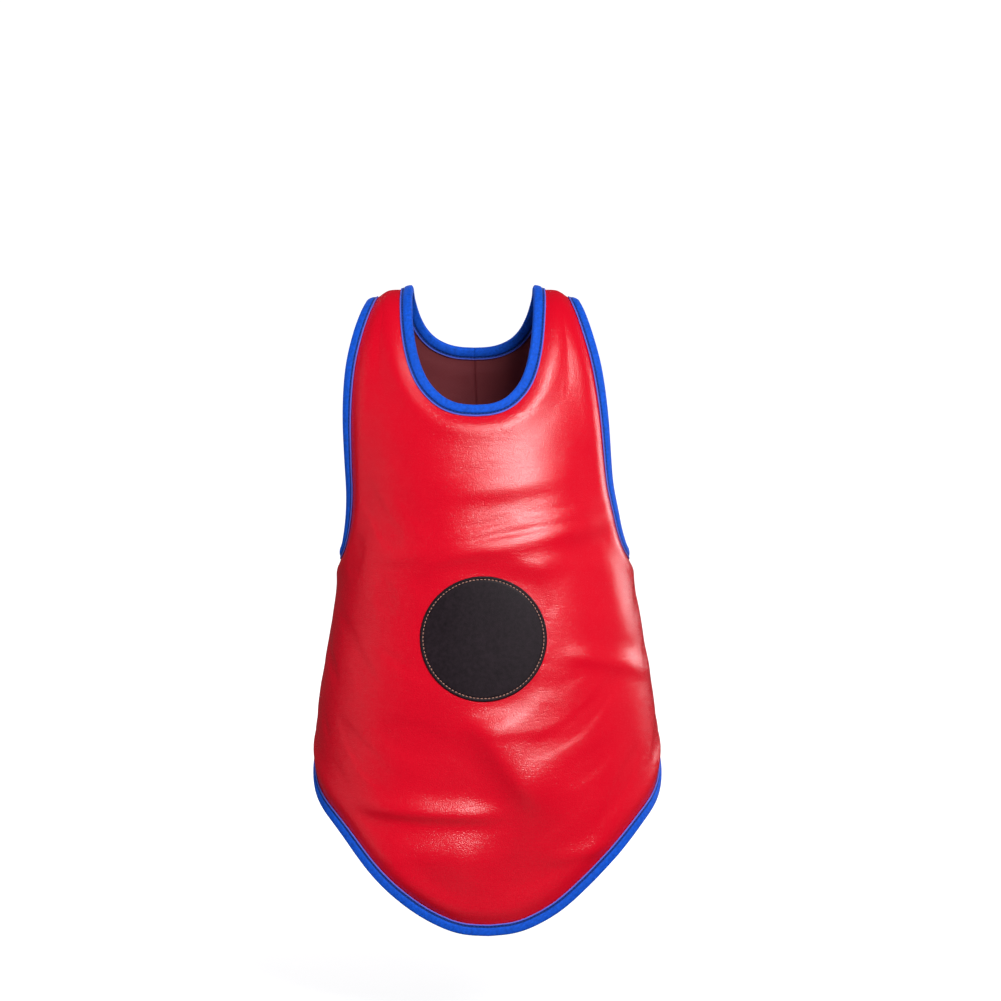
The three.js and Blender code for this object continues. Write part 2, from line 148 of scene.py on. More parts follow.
# Folds and dents. A fold's middle, its slope from the level in degrees, its length, how far its ends bend up,
# how wide its upper and lower sides are, and how far it stands out, or in where rise is negative.
FOLD_COLUMNS = ("x", "height", "slope", "length", "bend", "upper", "lower", "rise")
FRONT_FOLDS = table(
    FOLD_COLUMNS,
    [
        (0.026, -0.1570, 7.5, 0.120, 0.002, 0.014, 0.009, 0.0019),
        (0.030, -0.2030, 12.5, 0.185, 0.005, 0.026, 0.010, 0.0038),
        (0.046, -0.1905, 8.4, 0.095, 0.002, 0.0035, 0.0035, -0.0006),
        (0.010, -0.1865, 13, 0.050, 0.001, 0.0032, 0.0026, -0.0007),
        (0.020, -0.1960, 11, 0.085, 0.002, 0.0032, 0.0026, -0.0007),
        (0.060, -0.1760, 10, 0.055, 0.001, 0.0040, 0.0030, -0.0006),
        (0.008, -0.1430, 8, 0.060, 0.001, 0.0040, 0.0030, -0.0005),
        (0.034, -0.2225, 12, 0.100, 0.001, 0.013, 0.012, 0.0029),
        (-0.052, -0.2130, 9, 0.050, 0.002, 0.007, 0.005, 0.0010),
        (0.107, -0.2975, -13, 0.085, -0.003, 0.009, 0.006, 0.0018),
        (0.036, -0.3520, 3, 0.100, 0.002, 0.012, 0.0045, 0.0008),
        (0.026, -0.3770, -54, 0.115, 0.003, 0.040, 0.014, 0.0048),
        (0.028, -0.3790, -54, 0.100, 0.003, 0.018, 0.007, 0.0020),
        (0.074, -0.4180, -18, 0.150, 0.002, 0.040, 0.036, 0.0028),
        (-0.034, -0.4170, -4, 0.130, 0.003, 0.0095, 0.0065, 0.0041),
        (-0.034, -0.4560, -3, 0.130, 0.002, 0.025, 0.055, 0.0085),
        (-0.070, -0.4300, 90, 0.140, 0.000, 0.045, 0.042, 0.0036),
        (-0.034, -0.4830, -34, 0.080, 0.002, 0.010, 0.010, 0.0024),
        (0.084, -0.4500, 14, 0.060, 0.001, 0.008, 0.005, 0.0015),
        (0.113, -0.2430, -78, 0.100, 0.002, 0.012, 0.012, 0.0015),
        (-0.084, -0.2120, 86, 0.110, 0.002, 0.014, 0.014, 0.0010),
    ],
)
BACK_FOLDS = table(
    FOLD_COLUMNS,
    [
        (0.070, -0.2450, 14, 0.080, 0.003, 0.012, 0.006, 0.0015),
        (-0.062, -0.2400, -16, 0.085, 0.003, 0.012, 0.006, 0.0016),
        (0.064, -0.2880, 8, 0.070, 0.002, 0.012, 0.007, 0.0013),
        (-0.070, -0.2820, -7, 0.075, 0.002, 0.012, 0.007, 0.0014),
        (0.058, -0.1250, -12, 0.060, 0.002, 0.010, 0.008, 0.0010),
        (-0.056, -0.1300, 13, 0.060, 0.002, 0.010, 0.008, 0.0010),
    ],
)
# Where a fold starts to fade and where it ends, as shares of half its length
FOLD_FADE = (0.3, 1.1)


@dataclass(frozen=True)
class PanelShape:
    """A side of the vest, with its grid's counts and the heights at which the grid's row from the underarm
    reaches the middle and its row from the neckline reaches the armhole."""

    name: str
    facing: int
    hem: dict
    neck: dict
    folds: dict
    columns: int
    side_rows: int
    armhole_rows: int
    neck_rows: int
    underarm_row_middle: float
    neck_row_side: float
    crowding: tuple = (1, 1.6, 1.6)


FRONT = PanelShape(
    name="front",
    facing=-1,
    hem=FRONT_HEM,
    neck=FRONT_NECK,
    folds=FRONT_FOLDS,
    columns=76,
    side_rows=80,
    armhole_rows=92,
    neck_rows=44,
    underarm_row_middle=-0.302,
    neck_row_side=-0.072,
)
BACK = PanelShape(
    name="back",
    facing=1,
    hem=BACK_HEM,
    neck=BACK_NECK,
    folds=BACK_FOLDS,
    columns=72,
    side_rows=44,
    armhole_rows=80,
    neck_rows=36,
    underarm_row_middle=-0.262,
    neck_row_side=-0.044,
)
# Rounds of the search for a table's place and of the grid's fit to the neckline
BISECTIONS = 36
NECK_PASSES = 12
# Step in a section's place and angle from which the surface's slope is worked out
SLOPE_STEP = 0.02
# Rows of faces on the bare part of the lip, how far to each side an edge's direction is taken over, and the
# spacing of points on the lines that distances go to
LIP_STEPS = 3
EDGE_REACH = 0.005
LINE_STEP = 0.0007
# The padding's roll beside the binding: its roundness, and its bulge's place and width as shares of it
ROLL_ROUNDNESS = 2.6
PUFF_PLACE = 0.75
PUFF_WIDTH = 0.7


# Settings


def metres(name, description, default):
    return FloatProperty(name=name, description=description, default=default, unit="LENGTH")


def watts(name, description, default):
    return FloatProperty(name=name, description=description, default=default, unit="POWER")


def rgb(name, description, default):
    return FloatVectorProperty(
        name=name, description=description, default=default, subtype="COLOR", size=3, min=0, max=1
    )


class VestSizes(bpy.types.PropertyGroup):
    """Sizes of the vest's pieces."""

    pad_thickness: metres("Padding", "Thickness of the padded panels", 0.006)
    pad_roll: metres("Padding Roll", "Distance over which the padding rises from the binding", 0.014)
    edge_puff: metres("Edge Puff", "Height of the soft bulge beside the binding", 0.0012)
    lip_thickness: metres("Lip Thickness", "Thickness of the edge inside the binding", 0.003)
    lip_width: metres("Lip Width", "Width of the edge inside the binding", 0.009)
    seam_gap: metres("Seam Gap", "Gap between two panels at a seam", 0.00002)
    seam_depth: metres("Seam Depth", "How far the cover sinks at a seam", 0.0019)
    seam_width: metres("Seam Width", "Half width of the hollow along a seam", 0.0045)
    tape_thickness: metres("Tape Thickness", "Thickness of the binding tape", 0.001)
    tape_leg: metres("Tape Leg", "Width of the folded tape on each side", 0.0086)
    tape_gap: metres("Tape Gap", "Gap between the tape and the edge inside it", 0.0003)
    tape_stitch_inset: metres("Tape Stitch Inset", "Distance of stitches from the tape's free edge", 0.0021)
    patch_radius: metres("Patch Radius", "Radius of the target patch", 0.05)
    patch_thickness: metres("Patch Thickness", "Thickness of the target patch", 0.0012)
    patch_x: metres("Patch Place", "Sideways place of the patch's centre", 0.009)
    patch_height: metres("Patch Height", "Height of the patch's centre", -0.2776)
    patch_margin: metres("Patch Margin", "Distance from the patch over which the folds begin", 0.022)
    patch_gap: metres("Patch Gap", "Gap under the patch", 0.0002)
    closure_width: metres("Closing Strip Width", "Width of the closing strip", 0.032)
    closure_thickness: metres("Closing Strip Thickness", "Thickness of the closing strip", 0.0016)
    closure_end_gap: metres("Closing Strip End Gap", "Distance of the strip's ends from the bindings", 0.014)
    closure_gap: metres("Closing Strip Gap", "Gap under the closing strip", 0.0005)
    stitch_inset: metres("Stitch Inset", "Distance of the other stitches from a piece's edge", 0.0026)
    stitch_pitch: metres("Stitch Pitch", "Distance from one stitch to the next", 0.003)
    stitch_length: metres("Stitch Length", "Length of a stitch that shows", 0.0022)
    thread_radius: metres("Thread Radius", "Radius of the sewing thread", 0.00032)


class VestColours(bpy.types.PropertyGroup):
    """Colours of the vest's finishes."""

    red: rgb("Red Leather", "Colour of the panels", (0.7, 0.001, 0.0165))
    lining: rgb("Inner Face", "Colour of the panels' inner face", (0.16, 0.012, 0.018))
    blue: rgb("Blue Tape", "Colour of the binding tape", (0.0025, 0.09, 0.64))
    # Painted highlight: a pale colour for the band along the tape's free edge, standing in for light caught
    # by that edge.
    edge_highlight: rgb("Tape Selvage", "Colour of the tape's woven edge", (0.2, 0.17, 0.68))
    blue_thread: rgb("Blue Thread", "Colour of the binding's stitches", (0.004, 0.035, 0.24))
    black: rgb("Black Leather", "Colour of the target patch", (0.0135, 0.008, 0.0115))
    tan_thread: rgb("Tan Thread", "Colour of the patch's stitches", (0.6, 0.29, 0.215))
    red_thread: rgb("Red Thread", "Colour of the closing strip's stitches", (0.42, 0.004, 0.012))
    floor: rgb("Floor", "Colour of the floor and the backdrop", (0.86, 0.86, 0.87))


class VestStage(bpy.types.PropertyGroup):
    """The floor, the lights and the camera."""

    floor_drop: metres("Floor Drop", "Distance from the hem down to the floor", 0.07)
    camera_distance: metres("Camera Distance", "Distance of the camera from the origin", 3.1)
    camera_x: metres("Camera Place", "Sideways place of the camera", 0.0226)
    camera_height: metres("Camera Height", "Height of the camera", -0.1668)
    camera_lens: FloatProperty(
        name="Lens", description="Focal length of the camera", default=135.1, unit="CAMERA"
    )
    key_power: watts("Key Light", "Power of the large soft light", 102)
    left_power: watts("Left Light", "Power of the light at the left", 22)
    right_power: watts("Right Light", "Power of the light at the right", 11)
    low_power: watts("Low Light", "Power of the light from below", 6)
    back_power: watts("Back Light", "Power of the light behind the vest", 66)
    rear_power: watts("Rear Light", "Power of the small light behind the vest", 15)
    sky_strength: FloatProperty(
        name="Surround", description="Strength of the pale surround", default=0.05
    )


# Tables and curves


def curve(column, place):
    """A table's column at places between its rows, on a smooth curve through its values."""
    last = len(column) - 1
    index = np.clip(np.floor(place), 0, last - 1).astype(int)
    part = (place - index).reshape(np.shape(place) + (1,) * (column.ndim - 1))
    before, start, end, after = (column[np.clip(index + k, 0, last)] for k in (-1, 0, 1, 2))
    leave = (end - before) / 2
    arrive = (after - start) / 2
    bend = 3 * (end - start) - 2 * leave - arrive
    twist = 2 * (start - end) + leave + arrive
    return start + part * (leave + part * (bend + part * twist))


def place_of(column, value, last=None):
    """The places in a table where a rising column reaches the values."""
    value = np.asarray(value, float)
    low = np.zeros_like(value)
    high = np.full_like(value, len(column) - 1 if last is None else last)
    for _ in range(BISECTIONS):
        middle = (low + high) / 2
        below = curve(column, middle) < value
        low = np.where(below, middle, low)
        high = np.where(below, high, middle)
    return (low + high) / 2


def place_at_height(height):
    return place_of(SECTIONS["height"], height, CREST)


def reach_at(line, height):
    return curve(line["reach"], place_of(line["height"], height))


def angle_at_reach(place, reach):
    """The angle round an arch at a distance from its middle."""
    share = np.minimum(np.abs(reach) / curve(SECTIONS["half"], place), 1)
    return np.sign(reach) * np.arcsin(share ** (curve(SECTIONS["square"], place) / 2))


def smoothstep(value, start, end):
    share = np.clip((value - start) / (end - start), 0, 1)
    return share * share * (3 - 2 * share)


def bump_at(distance, width):
    """A smooth hump of height 1 that fades out at about twice its width."""
    return np.exp(-((distance / width) ** 2))


def unit(vectors):
    return vectors / np.maximum(np.linalg.norm(vectors, axis=-1, keepdims=True), 1e-12)


def run_of(points):
    """The distance of each point of a line from the line's start, measured along it."""
    return np.concatenate([[0], np.cumsum(np.linalg.norm(np.diff(points, axis=0), axis=1))])


def follow(values, run, at):
    """Vectors given at the distances run along a line, at other distances."""
    return np.stack([np.interp(at, run, values[:, k]) for k in range(3)], axis=-1)


# The vest's surface


def arch_points(shape, place, angle, gap):
    """Points of a panel's smooth middle surface."""
    row = {name: curve(column, place) for name, column in SECTIONS.items()}
    power = 2 / row["square"]
    tilt = np.radians(row[shape.name + "_tilt"])
    fall = row[shape.name + "_fall"] * (1 - np.abs(np.cos(angle)) ** power)
    x = row["lean"] + np.sign(angle) * row["half"] * np.abs(np.sin(angle)) ** power
    y = shape.facing * np.maximum(row[shape.name] - fall * np.cos(tilt), gap / 2)
    z = row["height"] - fall * np.sin(tilt)
    return np.stack([x, y, z], axis=-1)


def fold_rise(folds, x, height):
    """How far folds stand out from the smooth surface at each place."""
    rise = np.zeros_like(x)
    for fx, fz, slope, length, bend, upper, lower, top in zip(*(folds[name] for name in FOLD_COLUMNS)):
        cos, sin = math.cos(math.radians(slope)), math.sin(math.radians(slope))
        dx, dz = x - fx, height - fz
        along = (dx * cos + dz * sin) / (length / 2)
        across = dz * cos - dx * sin - bend * along**2
        hump = bump_at(across, np.where(across > 0, upper, lower))
        rise += top * hump * (1 - smoothstep(np.abs(along), *FOLD_FADE))
    return rise


def from_patch(points, sizes):
    """How far points lie from the patch's edge, seen from the front, and less than 0 inside it."""
    return np.hypot(points[..., 0] - sizes.patch_x, points[..., 2] - sizes.patch_height) - sizes.patch_radius


def surface_at(shape, place, angle, sizes):
    """Points of a panel's middle surface with its folds, and the directions that point out of the vest."""
    quarter = math.pi / 2
    gap = sizes.seam_gap

    def at(p, a):
        return arch_points(shape, p, a, gap)

    right, left = np.minimum(angle + SLOPE_STEP, quarter), np.maximum(angle - SLOPE_STEP, -quarter)
    above, below = np.minimum(place + SLOPE_STEP, CREST), np.maximum(place - SLOPE_STEP, 0)
    across = at(place, right) - at(place, left)
    along = at(above, angle) - at(below, angle)
    normals = unit(np.cross(across, along) * -shape.facing)
    points = at(place, angle)
    rise = fold_rise(shape.folds, points[..., 0], points[..., 2])
    if shape.name == "front":
        rise *= smoothstep(from_patch(points, sizes), 0, sizes.patch_margin)
    return points + normals * rise[..., None], normals


def band_rows(shape):
    """The band and the share of the way through it for each row of a panel's grid."""
    counts = (shape.side_rows, shape.armhole_rows, shape.neck_rows)
    band = np.concatenate([np.full(count, k) for k, count in enumerate(counts)] + [[2]])
    share = np.concatenate(
        [(np.arange(count) / count) ** power for count, power in zip(counts, shape.crowding)] + [[1.0]]
    )
    return band, share


def row_places(shape, band, share, across):
    """The places of grid rows at shares of the way from the panel's middle to its side. A row lies in one of
    three bands: from the hem to a row that starts at the underarm, from there to one that starts at the
    neckline's lowest point, and from there to the crest."""
    to_side = 1 - np.cos(across * math.pi / 2)

    def level(middle, side):
        start = place_at_height(middle)
        return start + (place_at_height(side) - start) * to_side

    hem = place_at_height(curve(shape.hem["height"], place_of(shape.hem["angle"], 90 * across)))
    underarm = level(shape.underarm_row_middle, ARMHOLE["height"][0])
    neck = level(shape.neck["height"][0], shape.neck_row_side)
    bounds = np.stack([hem, underarm, neck, np.full_like(across, CREST)])
    start = np.take_along_axis(bounds, band[None], 0)[0]
    end = np.take_along_axis(bounds, band[None] + 1, 0)[0]
    return start + (end - start) * share


def grid_spots(shape):
    """The places and angles of one half of a panel's grid, a row for each grid row."""
    band, share = band_rows(shape)
    rows = np.arange(len(band))
    armhole_row = shape.side_rows
    neck_row = shape.side_rows + shape.armhole_rows
    side_place = row_places(shape, band, share, np.ones(len(band)))
    side_height = curve(SECTIONS["height"], side_place)
    at_armhole = angle_at_reach(side_place, reach_at(ARMHOLE, side_height))
    side_angle = np.where(rows > armhole_row, at_armhole, math.pi / 2)
    inner_angle = np.zeros(len(band))
    for _ in range(NECK_PASSES):
        place = row_places(shape, band, share, inner_angle / side_angle)
        at_neck = angle_at_reach(place, reach_at(shape.neck, curve(SECTIONS["height"], place)))
        inner_angle = np.where(rows > neck_row, at_neck, 0)
    across = np.linspace(0, 1, shape.columns + 1)
    angle = inner_angle[:, None] + (side_angle - inner_angle)[:, None] * across
    whole = np.ones(shape.columns + 1)
    band_grid = (band[:, None] * whole).astype(int)
    share_grid = share[:, None] * whole
    return row_places(shape, band_grid, share_grid, angle / side_angle[:, None]), angle


class Wall:
    """Points of a middle surface and the faces between them, which become one closed wall."""

    def __init__(self):
        self.points = np.zeros((0, 3))
        self.normals = np.zeros((0, 3))
        self.faces = []

    def add(self, points, normals):
        """Adds a grid of points and returns the grid of their numbers."""
        start = len(self.points)
        self.points = np.concatenate([self.points, points.reshape(-1, 3)])
        self.normals = np.concatenate([self.normals, normals.reshape(-1, 3)])
        return np.arange(start, len(self.points)).reshape(points.shape[:-1])

    def fill(self, grid, mirrored=False):
        """Adds the faces between neighbouring rows and columns of a grid of numbers."""
        grid = np.asarray(grid)
        corners = [grid[:-1, :-1], grid[:-1, 1:], grid[1:, 1:], grid[1:, :-1]]
        faces = np.stack([c.ravel() for c in corners], axis=1)
        self.faces.append(faces[:, ::-1] if mirrored else faces)

    def closed(self, outer, inner):
        """The corner points and faces of the wall between the two offsets, closed along every open edge."""
        count = len(self.points)
        points = np.concatenate(
            [self.points + self.normals * outer[:, None], self.points - self.normals * inner[:, None]]
        )
        starts = np.concatenate([f.ravel() for f in self.faces])
        ends = np.concatenate([np.roll(f, -1, axis=1).ravel() for f in self.faces])
        open_edges = ~np.isin(starts * count + ends, ends * count + starts)
        a, b = starts[open_edges], ends[open_edges]
        rim = np.stack([b, a, a + count, b + count], axis=1)
        return points, [*self.faces, *(f[:, ::-1] + count for f in self.faces), rim]


@dataclass
class Panel:
    """A laid panel: its wall, its halves' grids, its bound lines, its seam lines, the frames of its free
    edges and the count of its points within the bound lines."""

    wall: Wall
    grids: list
    lines: dict
    seams: list
    lips: dict
    field: int


def into_seam(directions, axes):
    """Turns directions into the planes of the seams that they start on. axes holds 0 or 1 for each axis."""
    return unit(directions * axes)


def lay_half(wall, shape, side, sizes, middle=None):
    """Lays one half of a panel into a wall. Returns its grid, its bound lines with the planes of the seams
    there, and its seam lines. middle holds the points of the middle line where both halves are one piece."""
    places, angles = grid_spots(shape)
    points, normals = surface_at(shape, places, side * angles, sizes)
    neck_row = shape.side_rows + shape.armhole_rows
    planes = np.ones_like(normals)
    planes[-1, :, 1] = 0
    planes[: shape.side_rows + 1, -1, 1] = 0
    split = shape.name == "back"
    if split:
        planes[: neck_row + 1, 0, 0] = 0
        points[: neck_row + 1, 0, 0] += side * sizes.seam_gap / 2
    normals = into_seam(normals, planes)
    if middle is None:
        grid = wall.add(points, normals)
    else:
        own = wall.add(points[:, 1:], normals[:, 1:])
        above = wall.add(points[neck_row + 1 :, 0], normals[neck_row + 1 :, 0])
        grid = np.column_stack([np.concatenate([middle, above]), own])
    mirrored = side * shape.facing > 0
    wall.fill(grid, mirrored)
    picks = {
        "hem": (grid[0], planes[0]),
        "armhole": (grid[shape.side_rows :, -1], planes[shape.side_rows :, -1]),
        "neck": (grid[neck_row:, 0][::-1], planes[neck_row:, 0][::-1]),
    }
    if mirrored:
        picks = {name: (line[::-1], plane[::-1]) for name, (line, plane) in picks.items()}
    seams = [grid[: shape.side_rows + 1, -1], grid[-1]]
    if split:
        seams.append(grid[: neck_row + 1, 0])
    return grid, picks, seams


def lay_lip(wall, line, planes, sizes):
    """Adds the thin lip outside a bound line and returns the frames of its free edge."""
    points, normals = wall.points[line], wall.normals[line]
    run = run_of(points)
    ahead = follow(points, run, np.minimum(run + EDGE_REACH, run[-1]))
    behind = follow(points, run, np.maximum(run - EDGE_REACH, 0))
    out = into_seam(np.cross(ahead - behind, normals), planes)
    bare = sizes.lip_width - sizes.tape_leg
    bare_steps = bare * np.linspace(1, 0, LIP_STEPS, endpoint=False)
    steps = [sizes.lip_width, (sizes.lip_width + bare) / 2, *bare_steps]
    wall.fill([*(wall.add(points + out * step, normals) for step in steps), line])
    edge = points + out * sizes.lip_width
    return {"point": edge, "normal": normals, "out": out, "steps": steps}


def lay_front(shape, sizes):
    """Lays the front, whose two halves are one piece."""
    wall = Wall()
    left_grid, left, left_seams = lay_half(wall, shape, 1, sizes)
    neck_row = shape.side_rows + shape.armhole_rows
    right_grid, right, right_seams = lay_half(wall, shape, -1, sizes, left_grid[: neck_row + 1, 0])

    def join(first, second):
        return tuple(np.concatenate([a, b[1:]]) for a, b in zip(first, second))

    picks = {
        "hem": join(right["hem"], left["hem"]),
        "neck": join(left["neck"], right["neck"]),
        "armhole_left": left["armhole"],
        "armhole_right": right["armhole"],
    }
    return finish_panel(wall, [left_grid, right_grid], picks, left_seams + right_seams, sizes)


def lay_back(shape, sizes, side):
    """Lays one of the back's two halves."""
    wall = Wall()
    grid, picks, seams = lay_half(wall, shape, side, sizes)
    return finish_panel(wall, [grid], picks, seams, sizes)


def finish_panel(wall, grids, picks, seams, sizes):
    """Adds the lips along a panel's bound lines."""
    field = len(wall.points)
    lips = {name: lay_lip(wall, line, planes, sizes) for name, (line, planes) in picks.items()}
    return Panel(wall, grids, {name: line for name, (line, _) in picks.items()}, seams, lips, field)


def distances(points, lines):
    """The distance from each point to the nearest place on lines, each given by its points."""
    targets = []
    for line in lines:
        run = run_of(line)
        targets.append(follow(line, run, np.linspace(0, run[-1], int(run[-1] / LINE_STEP) + 2)))
    targets = np.concatenate(targets)
    tree = KDTree(len(targets))
    for i, target in enumerate(targets):
        tree.insert(target, i)
    tree.balance()
    return np.array([tree.find(p)[2] for p in points])


def cover_offsets(panel, sizes):
    """How far the outer and the inner face lie from the middle surface. The padding rolls down to the lip at
    the binding, bulges a little beside it, and sinks along the seams."""
    points = panel.wall.points
    bare = sizes.lip_width - sizes.tape_leg
    edge = distances(points, [points[line] for line in panel.lines.values()]) + bare
    outside = [np.repeat(lip["steps"], len(lip["point"])) for lip in panel.lips.values()]
    edge[panel.field :] = np.maximum(bare - np.concatenate(outside), 0)
    seam = distances(points, [points[line] for line in panel.seams])
    seam[panel.field :] = np.maximum(seam[panel.field :], edge[panel.field :])
    roll = 1 - (1 - np.clip(edge / sizes.pad_roll, 0, 1)) ** ROLL_ROUNDNESS
    lip, pad = sizes.lip_thickness / 2, sizes.pad_thickness / 2
    puff = sizes.edge_puff * bump_at(edge / sizes.pad_roll - PUFF_PLACE, PUFF_WIDTH)
    sink = sizes.seam_depth * bump_at(seam, sizes.seam_width) * roll
    outer = lip + (pad - lip + puff) * roll - sink
    inner = lip + (pad - lip) * smoothstep(edge, 0, sizes.pad_roll)
    return outer, inner, np.minimum(edge, seam)


# Settling of the covers as cloth

# The cloth's frames, its size in proportion to life, how firmly the foam holds it and how much longer it is
# than its place
SETTLE_FRAMES = 20
SETTLE_SCALE = 10
SETTLE_FOAM = 0.4
SETTLE_SLACK = (1, 1, 1.012)
SETTLE_CLOTH = {
    "quality": 8,
    "mass": 0.05,
    "tension_stiffness": 15,
    "compression_stiffness": 15,
    "shear_stiffness": 5,
    "bending_stiffness": 60,
    "air_damping": 2,
}
# The distances from an edge over which the hold ends, and from the patch, then the farthest move, the rounds
# of smoothing, and the distance from an edge over which the moves begin
SETTLE_HOLD = (0.002, 0.012)
SETTLE_PATCH_HOLD = 0.012
SETTLE_MOST = 0.0003
SETTLE_PASSES = 5
SETTLE_EDGE = 0.012
# How much less the straps move, and the heights between which that comes in
SETTLE_STRAPS = 0.85
STRAP_HEIGHTS = (-0.2, -0.11)


def settle(points, faces, held):
    """Lets a sheet that is a little longer than its place settle as cloth. held, from 0 to 1, is how firmly
    each point is kept. Returns how far each point moved. The cloth is larger than life, because cloth with
    edges of a few millimetres doesn't move."""
    scene = bpy.context.scene
    scene.frame_set(0)
    large = points * SETTLE_SCALE
    mesh = bpy.data.meshes.new("settling")
    mesh.from_pydata(large.tolist(), [], faces.tolist())
    sheet = bpy.data.objects.new("settling", mesh)
    scene.collection.objects.link(sheet)
    group = sheet.vertex_groups.new(name="held")
    for i, share in enumerate(held):
        group.add([i], share, "REPLACE")
    sheet.shape_key_add(name="place")
    slack = sheet.shape_key_add(name="slack")
    slack.data.foreach_set("co", (large * SETTLE_SLACK).astype(np.float32).ravel())
    cloth = sheet.modifiers.new("cloth", "CLOTH")
    settings = cloth.settings
    for name, value in SETTLE_CLOTH.items():
        setattr(settings, name, value)
    settings.vertex_group_mass = "held"
    settings.rest_shape_key = slack
    settings.effector_weights.gravity = 0
    cloth.point_cache.frame_start = 1
    cloth.point_cache.frame_end = SETTLE_FRAMES
    for number in range(1, SETTLE_FRAMES + 1):
        scene.frame_set(number)
    settled = np.empty(len(points) * 3, np.float32)
    sheet.evaluated_get(bpy.context.evaluated_depsgraph_get()).data.vertices.foreach_get("co", settled)
    bpy.data.objects.remove(sheet)
    bpy.data.meshes.remove(mesh)
    scene.frame_set(1)
    return settled.reshape(-1, 3) / SETTLE_SCALE - points


def evened(values, faces, passes):
    """Values of points, each brought nearer to its neighbours' mean a few times."""
    a = faces.ravel()
    b = np.roll(faces, -1, axis=1).ravel()
    count = np.bincount(np.concatenate([a, b]), minlength=len(values))[:, None]
    for _ in range(passes):
        total = np.zeros_like(values)
        np.add.at(total, a, values[b])
        np.add.at(total, b, values[a])
        values = (values + total / count) / 2
    return values


def coarser(shape):
    """The same panel on a grid of about 5 mm, on which its cover settles."""
    return replace(
        shape,
        columns=30,
        side_rows=shape.side_rows // 2,
        armhole_rows=36,
        neck_rows=16,
        crowding=(1, 1.15, 1.15),
    )


def settled_moves(shape, lay, sizes):
    """How far each point of a panel's outer face moves when its cover settles."""
    coarse = coarser(shape)
    panel = lay(coarse, sizes)
    outer, _, edge = cover_offsets(panel, sizes)
    wall = panel.wall
    points = (wall.points + wall.normals * outer[:, None])[: panel.field]
    faces = np.concatenate(wall.faces[: len(panel.grids)])
    edge = edge[: panel.field]
    held = SETTLE_FOAM + (1 - SETTLE_FOAM) * (1 - smoothstep(edge, *SETTLE_HOLD))
    if shape.name == "front":
        held = np.maximum(held, 1 - smoothstep(from_patch(points, sizes), 0, SETTLE_PATCH_HOLD))
    moves = evened(settle(points, faces, held), faces, SETTLE_PASSES)
    length = np.linalg.norm(moves, axis=1, keepdims=True)
    moves *= SETTLE_MOST * np.tanh(length / SETTLE_MOST) / np.maximum(length, 1e-9)
    calm = 1 - SETTLE_STRAPS * smoothstep(points[:, 2], *STRAP_HEIGHTS)
    moves *= (smoothstep(edge, 0, SETTLE_EDGE) * calm)[:, None]
    fine = lay(shape, sizes)
    spread = np.zeros_like(fine.wall.points)
    band, share = band_rows(shape)
    counts = np.array([coarse.side_rows, coarse.armhole_rows, coarse.neck_rows])
    starts = np.cumsum(counts) - counts
    row = starts[band] + counts[band] * share ** (1 / np.array(coarse.crowding)[band])
    column = np.linspace(0, coarse.columns, shape.columns + 1)
    for coarse_grid, grid in zip(panel.grids, fine.grids):
        by_row = curve(moves[coarse_grid], row)
        spread[grid] = curve(by_row.swapaxes(0, 1), column).swapaxes(0, 1)
    return spread


# Meshes

# A stitch's rings and sides, how far its middle rises and its ends sink as shares of the thread's radius, and
# how blunt its ends are
STITCH_RINGS = 5
STITCH_SIDES = 6
STITCH_RISE = 0.9
STITCH_SINK = 1.5
STITCH_BLUNT = 1.04


def new_piece(name, points, faces, material, node=None):
    """A smooth-shaded mesh object from arrays of points and faces, which rides on the vest."""
    mesh = bpy.data.meshes.new(name)
    counts = np.concatenate([np.full(len(f), f.shape[1]) for f in faces])
    corners = np.concatenate([f.ravel() for f in faces])
    mesh.vertices.add(len(points))
    mesh.vertices.foreach_set("co", points.astype(np.float32).ravel())
    mesh.loops.add(len(corners))
    mesh.loops.foreach_set("vertex_index", corners.astype(np.int32))
    mesh.polygons.add(len(counts))
    mesh.polygons.foreach_set("loop_start", (np.cumsum(counts) - counts).astype(np.int32))
    mesh.update(calc_edges=True)
    if mesh.validate():
        raise RuntimeError(f"the mesh of {name} has faulty faces")
    mesh.polygons.foreach_set("use_smooth", np.ones(len(counts), bool))
    mesh.materials.append(material)
    piece = bpy.data.objects.new(name, mesh)
    bpy.context.scene.collection.objects.link(piece)
    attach(piece, BODY)
    if node:
        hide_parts(node)
    return piece


def add_values(piece, name, values):
    """A number for each point of a piece, which its material can read."""
    attribute = piece.data.attributes.new(name, "FLOAT", "POINT")
    attribute.data.foreach_set("value", values.astype(np.float32))


def add_map(piece, name, places):
    """A flat map with a place for each corner of a piece's faces."""
    layer = piece.data.uv_layers.new(name=name)
    layer.uv.foreach_set("vector", places.astype(np.float32).ravel())


